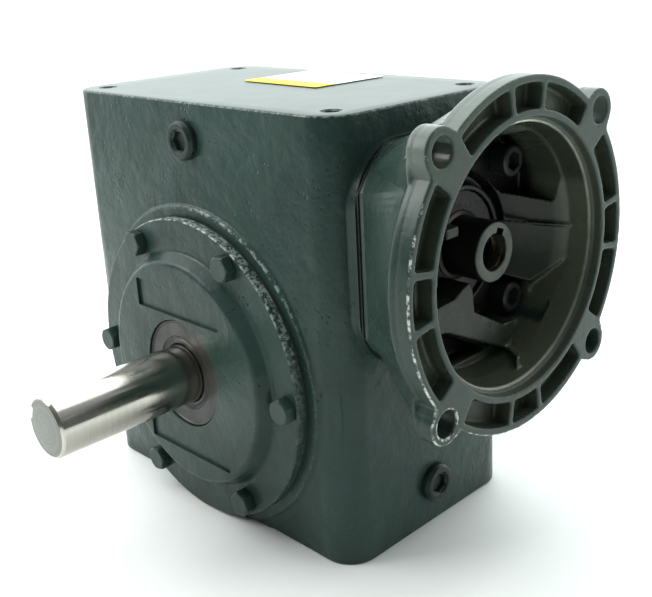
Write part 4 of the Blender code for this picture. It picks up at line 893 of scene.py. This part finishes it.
def make_motor_flange():
    zi = INPUT_Z
    face = FLANGE_FACE
    outer = softened(
        [
            (0.0735, face), (0.0735, 0.1408), (0.0730, 0.1402), (0.0735, 0.1395), (0.0736, 0.1366),
            (0.0702, 0.1343), (0.0574, 0.1024), (0.0574, FLANGE_BASE),
        ],
        [0.0006, 0, 0, 0.0006, 0.0018, 0.0022, 0.002, 0],
        closed=False,
        steps=3,
    )
    inner = [
        (0.0308, FLANGE_BASE), (0.0308, 0.0963), (0.0200, 0.0963), (0.0200, 0.1034),
        (0.0237, 0.1034), (0.0237, 0.1135), (0.0310, 0.1135), (0.0540, 0.1320), (0.0548, 0.1420),
        (0.05715, 0.1420), (0.05715, face),
    ]
    flange = turned("flange_body", outer + inner, "X", INPUT_AXIS, 144)
    square_neck(baked(flange))
    ears = circle_places(FLANGE_BOLT_RADIUS, 4, 45, "X", INPUT_AXIS)
    additions = []
    for quarter, place in enumerate(ears):
        radius = 0.0094 if place.z > zi else 0.0090
        points = [(0.0, face), (radius, face), (radius, 0.1408), (radius - 0.0005, 0.1402)]
        points += [(radius, 0.1395), (radius, 0.1366), (0.0, 0.1366)]
        profile = softened(points, [0, 0.0006, 0, 0, 0.0006, 0.0018, 0], closed=False)
        ear = turned("ear", profile, "X", (0, place.y, place.z), 48, closed=False)
        baked(ear)
        additions.append(ear)
        # the ear grows out of the rim on two fillets
        angle = math.radians(45 + 90 * quarter)
        side = [(0.066, 0.0130), (0.0725, 0.0105), (0.0765, 0.0091)]
        fillets = [(u, -v) for u, v in side] + side[::-1]
        neck = slab("ear_neck", fillets, 0.1368, face, "X", INPUT_AXIS)
        neck.matrix_world = Matrix.Translation(INPUT_AXIS) @ Matrix.Rotation(angle, 4, "X") @ AXES["X"]
        additions.append(neck)
        # and a flat-sided web runs back from it to the neck's corner
        points = [(x, radius, side * half) for x, radius, half in WEB_POINTS for side in (-1, 1)]
        web = hull("ear_web", points)
        web.matrix_world = Matrix.Translation(INPUT_AXIS) @ Matrix.Rotation(angle, 4, "X")
        additions.append(web)
    join(flange, additions)
    cutters = []
    for quarter in range(4):
        at = 90 * quarter
        for start, end in ((-7.7, 7.7), (10.3, 36.8), (53.2, 79.7)):
            steps = max(3, round((end - start) / 3))
            ring = arc(0.0704, at + start, at + end, steps) + arc(0.0602, at + end, at + start, steps)
            radii = [0] * len(ring)
            for corner in (0, steps, steps + 1, len(ring) - 1):
                radii[corner] = 0.0012
            cutters.append(slab("rim_pocket", softened(ring, radii, steps=2), 0.1388, 0.17, "X", INPUT_AXIS))
    # cored pockets: one above that spans both upper screws, and the ground beside the lower ones
    boss_top = arc(0.0310, 146, 34, 12)
    top = arc(0.0530, 12.5, 167.5, 24) + [(-0.0268, 0.0180)] + boss_top[1:-1] + [(0.0268, 0.0180)]
    top = [(max(-0.0478, min(0.0478, u)), min(0.0472, v)) for u, v in top]
    cutters.append(slab("upper_pocket", top, 0.1090, 0.1400, "X", INPUT_AXIS))
    low = [(-0.0245, -0.0310), (0.0105, -0.0495), (-0.0190, -0.0495)]
    low += arc(0.0530, -113, -150, 8) + [(-0.0360, -0.0230)]
    cutters.append(slab("near_pocket", low[::-1], 0.1105, 0.1400, "X", INPUT_AXIS))
    low = [(-0.0245, -0.0280), (0.0190, -0.0400)] + arc(0.0532, -69, -149, 20) + [(-0.0355, -0.0225)]
    cutters.append(slab("lower_pocket", low[::-1], 0.1190, 0.1400, "X", INPUT_AXIS))
    # the far side slopes down from the band across the bell to the lower screw
    slope = [(0.1345, -0.0130), (0.1190, -0.0285), (0.1190, -0.0560), (0.1420, -0.0560), (0.1420, -0.0130)]
    points = [(x, y, zi + z) for x, z in slope for y in (0.0180, 0.0525)]
    inside = rod("bell_wall", 0.0538, 0.1100, 0.1419, "X", INPUT_AXIS, 96)
    ramp = hull("ramp", points)
    combine(ramp, [inside], "INTERSECT")
    baked(ramp)
    cutters.append(ramp)
    for place in ears:
        at = (0, place.y, place.z)
        cutters.append(rod("ear_hole", 0.0058, 0.1335, 0.17, "X", at, 40))
        cutters.append(rod("ear_sink", 0.0052, face - 0.0006, face + 0.0010, "X", at, 40, 0.0068))
    for place in flange_screw_places():
        cutters.append(rod("screw_hole", 0.0051, 0.090, 0.1135, "X", (0, place.y, place.z), 24))
        cutters.append(rod("screw_seat", 0.0086, 0.1090, 0.1400, "X", (0, place.y, place.z), 32))
    # a moat round the boss that holds the input seal
    points = [(0.0305, 0.118), (0.0305, 0.1062), (0.0262, 0.1062), (0.0262, 0.118)]
    moat = turned("moat", points, "X", INPUT_AXIS, 72)
    baked(moat)
    cutters.append(moat)
    cut(flange, cutters)
    baked(flange)
    # a flat shelf crosses the bell below the quill, with a pocket for the lower screw in it
    outline = [
        (-0.0390, -0.0190), (-0.0370, -0.0270), (-0.0265, -0.0290), (0.0182, -0.0510),
        (0.0215, -0.0374), (0.0120, -0.0365), (-0.0080, -0.0250), (-0.0092, -0.0150),
        (-0.0115, -0.0112), (-0.0168, -0.0131), (-0.0214, -0.0157), (-0.0312, -0.0163),
    ]
    pocket = [(0.0020, -0.0175), (0.0270, -0.0200), (0.0415, -0.0265), (0.0425, -0.0345)]
    pocket += [(0.0390, -0.0425), (0.0230, -0.0415), (0.0030, -0.0305)]
    pocket = softened(pocket, [0.004] * 7)[::-1]
    cut(flange, [slab("screw_pocket", pocket, 0.1090, 0.1300, "X", INPUT_AXIS)])
    baked(flange)
    parts = [slab("shelf", outline, 0.1080, 0.1262, "X", INPUT_AXIS)]
    ends = ((0.1245, 0.0168), (0.1368, 0.0085))
    rib = []
    for x, y in ends:
        for side in (-0.0013, 0.0013):
            rib += [(x, y + side, zi + z) for z in (-0.0480, -0.0555)]
    parts.append(hull("wall_rib", rib))
    parts.append(block("lug", (0.1150, -0.0265, zi + 0.0105), (0.1265, -0.0185, zi + 0.0150)))
    ends = ((0.1120, 0.0235, 0.0056, 0.0035), (0.1312, 0.0545, -0.0006, 0.0028))
    ridge = []
    for x, y, z, rise in ends:
        for up in (0.0, rise):
            ridge += [(x + up, y, zi + z + side) for side in (-0.0006, 0.0006)]
    parts.append(hull("band_ridge", ridge))
    join(flange, parts)
    remeshed(flange, 0.0006, 5)
    baked(flange)
    return flange


def finish_motor_flange(flange):
    """The shader reads places from the object's own frame, so the mesh is put in the row frame."""
    flange.data.transform(flange.matrix_world)
    flange.matrix_world = Matrix.Identity(4)
    nodes = ["motor_flange"]
    return shown(flange, "motor_flange_casting", "housing", FLANGE_PAINT, nodes, sharp=0)


def make_flange_screws():
    """Socket cap screws with a chamfered head."""
    points = [(0.0, 0.0085), (0.0062, 0.0085), (0.0070, 0.0077), (0.0070, 0.0)]
    points += [(0.00476, 0.0), (0.00476, -0.0225), (0.0, -0.0225)]
    profile = softened(points, [0, 0.0003, 0.0004, 0.0002, 0, 0.0006, 0], closed=False)
    screw = turned("screw_body", profile, steps=64, closed=False)
    baked(screw)
    cut(screw, [slab("screw_socket", hexagon(0.0079), 0.0035, 0.03)])
    bevelled(screw, 0.0002, 2, 40)
    baked(screw)
    lie = Matrix.Rotation(math.pi / 2, 4, "Y")
    seats = {}
    for index, place in enumerate(flange_screw_places()):
        twist = Matrix.Rotation(math.radians(17 * index), 4, "Z")
        seats[f"flange_screw_{index + 1}"] = Matrix.Translation((0.1093, place.y, place.z)) @ lie @ twist
    repeated(screw, "_body", seats, SCREW_STEEL)


# --- Seals and shafts -----------------------------------------------------------------------


def make_output_seal():
    points = [
        (0.0249, -0.0625), (0.0264, -0.0625), (0.0264, -0.0706), (0.0256, -0.0706),
        (0.0252, -0.0701), (0.0186, -0.0701), (0.0182, -0.0696), (0.0172, -0.0690),
        (0.0162, -0.0700), (0.0151, -0.0702), (0.01459, -0.0695), (0.01459, -0.0656),
        (0.0170, -0.0676), (0.0249, -0.0680),
    ]
    radii = [0.0002, 0.0004, 0.0005, 0.0002, 0.0002, 0.0003, 0.0004]
    radii += [0.0006, 0.0004, 0.0004, 0, 0.0002, 0.0003, 0.0004]
    seal = turned("seal_body", softened(points, radii, steps=3), "Y", OUTPUT_AXIS, 96)
    return shown(seal, "output_seal_ring", "housing", SEAL, ["output_seal"])


def make_output_shaft():
    points = [
        (0.0, 0.0550), (0.0149, 0.0550), (0.015875, 0.0540), (0.015875, 0.0375), (0.0190, 0.0375),
        (0.0190, -0.0203), (0.0225, -0.0203), (0.0225, -0.0310), (0.0190, -0.0340),
        (0.0190, -0.0375), (0.015875, -0.0375), (0.015875, -0.0560), (SHAFT_RADIUS, -0.0575),
        (SHAFT_RADIUS, -SHAFT_END + 0.0014), (SHAFT_RADIUS - 0.0014, -SHAFT_END), (0.0, -SHAFT_END),
    ]
    radii = [0, 0, 0, 0.0004, 0.0003, 0.0004, 0.0004, 0, 0, 0.0003, 0.0004, 0, 0, 0.0003, 0.0003, 0]
    profile = softened(points, radii, closed=False, steps=3)
    shaft = turned("shaft_body", profile, "Y", OUTPUT_AXIS, 128, closed=False)
    baked(shaft)
    half = 0.00635 / 2
    keyway = block("end_keyway", (-half, -0.17, SHAFT_RADIUS - 0.0032), (half, -SHAFT_END + 0.050, 0.03))
    keyway.matrix_world = Matrix.Translation(OUTPUT_AXIS) @ Matrix.Rotation(math.radians(-70), 4, "Y")
    half = 0.0095 / 2 + 0.0003
    floor = OUTPUT_Z + 0.0190 - 0.0095 / 2
    cut(shaft, [keyway, block("wheel_keyway", (-half, -0.0170, floor), (half, 0.0170, floor + 0.02))])
    nodes = ["output_shaft"]
    return shown(shaft, "output_shaft_bar", "output_shaft", SHAFT_STEEL, nodes, sharp=30)


def make_thread():
    """A rack tooth swept round the worm, as in the model."""
    slope = math.tan(math.radians(20))
    half_pitch_line = AXIAL_PITCH / 4 - 0.0003
    tip = WORM_PITCH_RADIUS + 0.88 * MODULE
    root = WORM_PITCH_RADIUS - 1.2 * MODULE - 0.0008
    half_tip = half_pitch_line - (tip - WORM_PITCH_RADIUS) * slope
    half_root = half_pitch_line + (WORM_PITCH_RADIUS - root) * slope
    start = -2.5 * AXIAL_PITCH
    form = bmesh.new()
    spots = ((-half_root, root), (-half_tip, tip), (half_tip, tip), (half_root, root))
    form.faces.new([form.verts.new((start + x, 0, z)) for x, z in spots])
    steps = 32
    bmesh.ops.spin(
        form,
        geom=form.verts[:] + form.edges[:] + form.faces[:],
        cent=(0, 0, 0),
        axis=(1, 0, 0),
        dvec=(AXIAL_PITCH / steps, 0, 0),
        angle=10 * math.pi,
        steps=5 * steps,
    )
    phase = math.radians(1.7)
    bmesh.ops.rotate(form, matrix=Matrix.Rotation(phase, 3, "X"), verts=form.verts)
    bmesh.ops.translate(form, vec=(AXIAL_PITCH * phase / (2 * math.pi), 0, 0), verts=form.verts)
    bmesh.ops.recalc_face_normals(form, faces=form.faces)
    return solid("thread", form, "Z", INPUT_AXIS)


def make_worm():
    root = WORM_PITCH_RADIUS - 1.2 * MODULE
    points = [
        (0.0, 0.0700), (0.0079375, 0.0700), (0.0079375, 0.1305), (0.0130, 0.1305), (0.0130, 0.1125),
        (0.0150, 0.1120), (0.0150, 0.0797), (0.0185, 0.0797), (0.0185, 0.0740), (0.0165, 0.0720),
        (0.0165, 0.0360), (root, 0.0320), (root, -0.0320), (0.0165, -0.0360), (0.0165, -0.0777),
        (0.0125, -0.0777), (0.0125, -0.0935), (0.0, -0.0935),
    ]
    radii = [0, 0, 0.0007, 0.0009, 0.0004, 0.0003, 0.0005, 0.0004, 0]
    radii += [0, 0.002, 0.002, 0.002, 0.002, 0.0006, 0.0005, 0.0004, 0]
    profile = softened(points, radii, closed=False, steps=3)
    worm = turned("worm_body", profile, "X", INPUT_AXIS, 72, closed=False)
    baked(worm)
    join(worm, [make_thread()])
    half = 0.00476 / 2
    keyway = block("quill_keyway", (0.075, -half, 0), (0.15, half, 0.0103))
    keyway.matrix_world = Matrix.Translation(INPUT_AXIS) @ Matrix.Rotation(math.radians(-22), 4, "X")
    cut(worm, [keyway])
    return shown(worm, "worm_and_quill", "worm", QUILL_STEEL, ["worm_shaft"], sharp=30)


# --- The CAD nodes that stay ----------------------------------------------------------------


def paint_nodes():
    finishes = (
        (GASKET, ("cover_gasket",)),
        (JOINT, ("flange_gasket",)),
        (INPUT_SEAL, ("input_seal",)),
        (BRONZE, ("worm_wheel",)),
        (SCREW_STEEL, ("wheel_key", "worm_end_cap")),
        (BEARING_STEEL, ("bearing", "spacer")),
    )
    for name, obj in NODES.items():
        for material, words in finishes:
            if any(word in name for word in words):
                for slot in obj.material_slots:
                    slot.material = material


# --- Stage ----------------------------------------------------------------------------------


def floor():
    mesh = bpy.data.meshes.new("floor")
    form = bmesh.new()
    bmesh.ops.create_grid(form, x_segments=4, y_segments=4, size=FLOOR_HALF_WIDTH)
    form.to_mesh(mesh)
    form.free()
    obj = bpy.data.objects.new("studio_floor", mesh)
    bpy.context.scene.collection.objects.link(obj)
    n = Nodes("floor_paper")
    tone = n.noise(1.5, detail=3)
    base = n.mix(tone, (0.80, 0.815, 0.80), (0.86, 0.872, 0.86))
    mesh.materials.append(n.finish(Base_Color=base, Roughness=0.7, Normal=n.bump(n.noise(900), 0.00002)))


def area_light(name, at, towards, size, power, colour=(1, 1, 1)):
    light = bpy.data.lights.new(name, "AREA")
    light.shape = "RECTANGLE"
    light.size, light.size_y = size
    light.energy = power
    light.color = colour
    obj = bpy.data.objects.new(name, light)
    bpy.context.scene.collection.objects.link(obj)
    direction = Vector(towards) - Vector(at)
    obj.matrix_world = Matrix.Translation(at) @ direction.to_track_quat("-Z", "Y").to_matrix().to_4x4()


def lights():
    """A bright backdrop all round the far side, a dim room on the camera's side, and soft boxes."""
    world = bpy.data.worlds.new("studio")
    world.use_nodes = True
    bpy.context.scene.world = world
    tree = world.node_tree
    background = tree.nodes["Background"]
    direction = tree.nodes.new("ShaderNodeTexCoord").outputs["Generated"]

    def towards(vector, low, high, start, end):
        dot = tree.nodes.new("ShaderNodeVectorMath")
        dot.operation = "DOT_PRODUCT"
        tree.links.new(direction, dot.inputs[0])
        dot.inputs[1].default_value = vector
        spread = tree.nodes.new("ShaderNodeMapRange")
        spread.interpolation_type = "SMOOTHSTEP"
        tree.links.new(dot.outputs["Value"], spread.inputs["Value"])
        spread.inputs["From Min"].default_value = low
        spread.inputs["From Max"].default_value = high
        spread.inputs["To Min"].default_value = start
        spread.inputs["To Max"].default_value = end
        return spread.outputs["Result"]

    away = (-math.sin(CAMERA_AZIMUTH), math.cos(CAMERA_AZIMUTH), 0)
    total = tree.nodes.new("ShaderNodeMath")
    total.operation = "ADD"
    tree.links.new(towards(away, -0.1, 0.65, WORLD_FRONT, WORLD_BACK), total.inputs[0])
    tree.links.new(towards((0, 0, 1), 0.35, 0.95, 0.0, WORLD_TOP), total.inputs[1])
    tree.links.new(total.outputs[0], background.inputs["Strength"])
    background.inputs["Color"].default_value = (0.93, 1.0, 0.99, 1)
    middle = (0.02, 0.0, 0.11)
    area_light("top_softbox", (-0.15, 0.1, 1.25), middle, (1.3, 1.1), TOP_POWER, (0.97, 1.0, 0.99))
    area_light("left_softbox", (-0.55, -0.62, 0.72), middle, (0.5, 0.5), LEFT_POWER)
    area_light("right_softbox", (1.1, 0.75, 0.55), middle, (0.7, 0.7), RIGHT_POWER)


def camera():
    az, el, roll = CAMERA_AZIMUTH, CAMERA_ELEVATION, CAMERA_ROLL
    back = Vector((math.sin(az) * math.cos(el), -math.cos(az) * math.cos(el), math.sin(el)))
    right = (-back).cross(Vector((0, 0, 1))).normalized()
    up = right.cross(-back)
    tilted_right = math.cos(roll) * right + math.sin(roll) * up
    tilted_up = math.cos(roll) * up - math.sin(roll) * right
    matrix = Matrix((tilted_right, tilted_up, back)).transposed().to_4x4()
    matrix.translation = CAMERA_TARGET + CAMERA_DISTANCE * back
    data = bpy.data.cameras.new("camera")
    data.lens = CAMERA_LENS
    data.sensor_width = 36
    data.shift_x, data.shift_y = CAMERA_SHIFT
    data.clip_start = 0.01
    obj = bpy.data.objects.new("camera", data)
    bpy.context.scene.collection.objects.link(obj)
    obj.matrix_world = matrix
    bpy.context.scene.camera = obj


def clear_helpers():
    for obj in list(HELPERS.objects):
        bpy.data.objects.remove(obj, do_unlink=True)
    bpy.data.collections.remove(HELPERS)


camera()
floor()
lights()
make_housing()
make_output_cover()
make_closed_cover()
make_cover_bolts()
make_plugs()
make_label()
finish_motor_flange(make_motor_flange())
make_flange_screws()
make_output_seal()
make_output_shaft()
make_worm()
paint_nodes()
clear_helpers()
bpy.context.scene.view_settings.view_transform = "Standard"
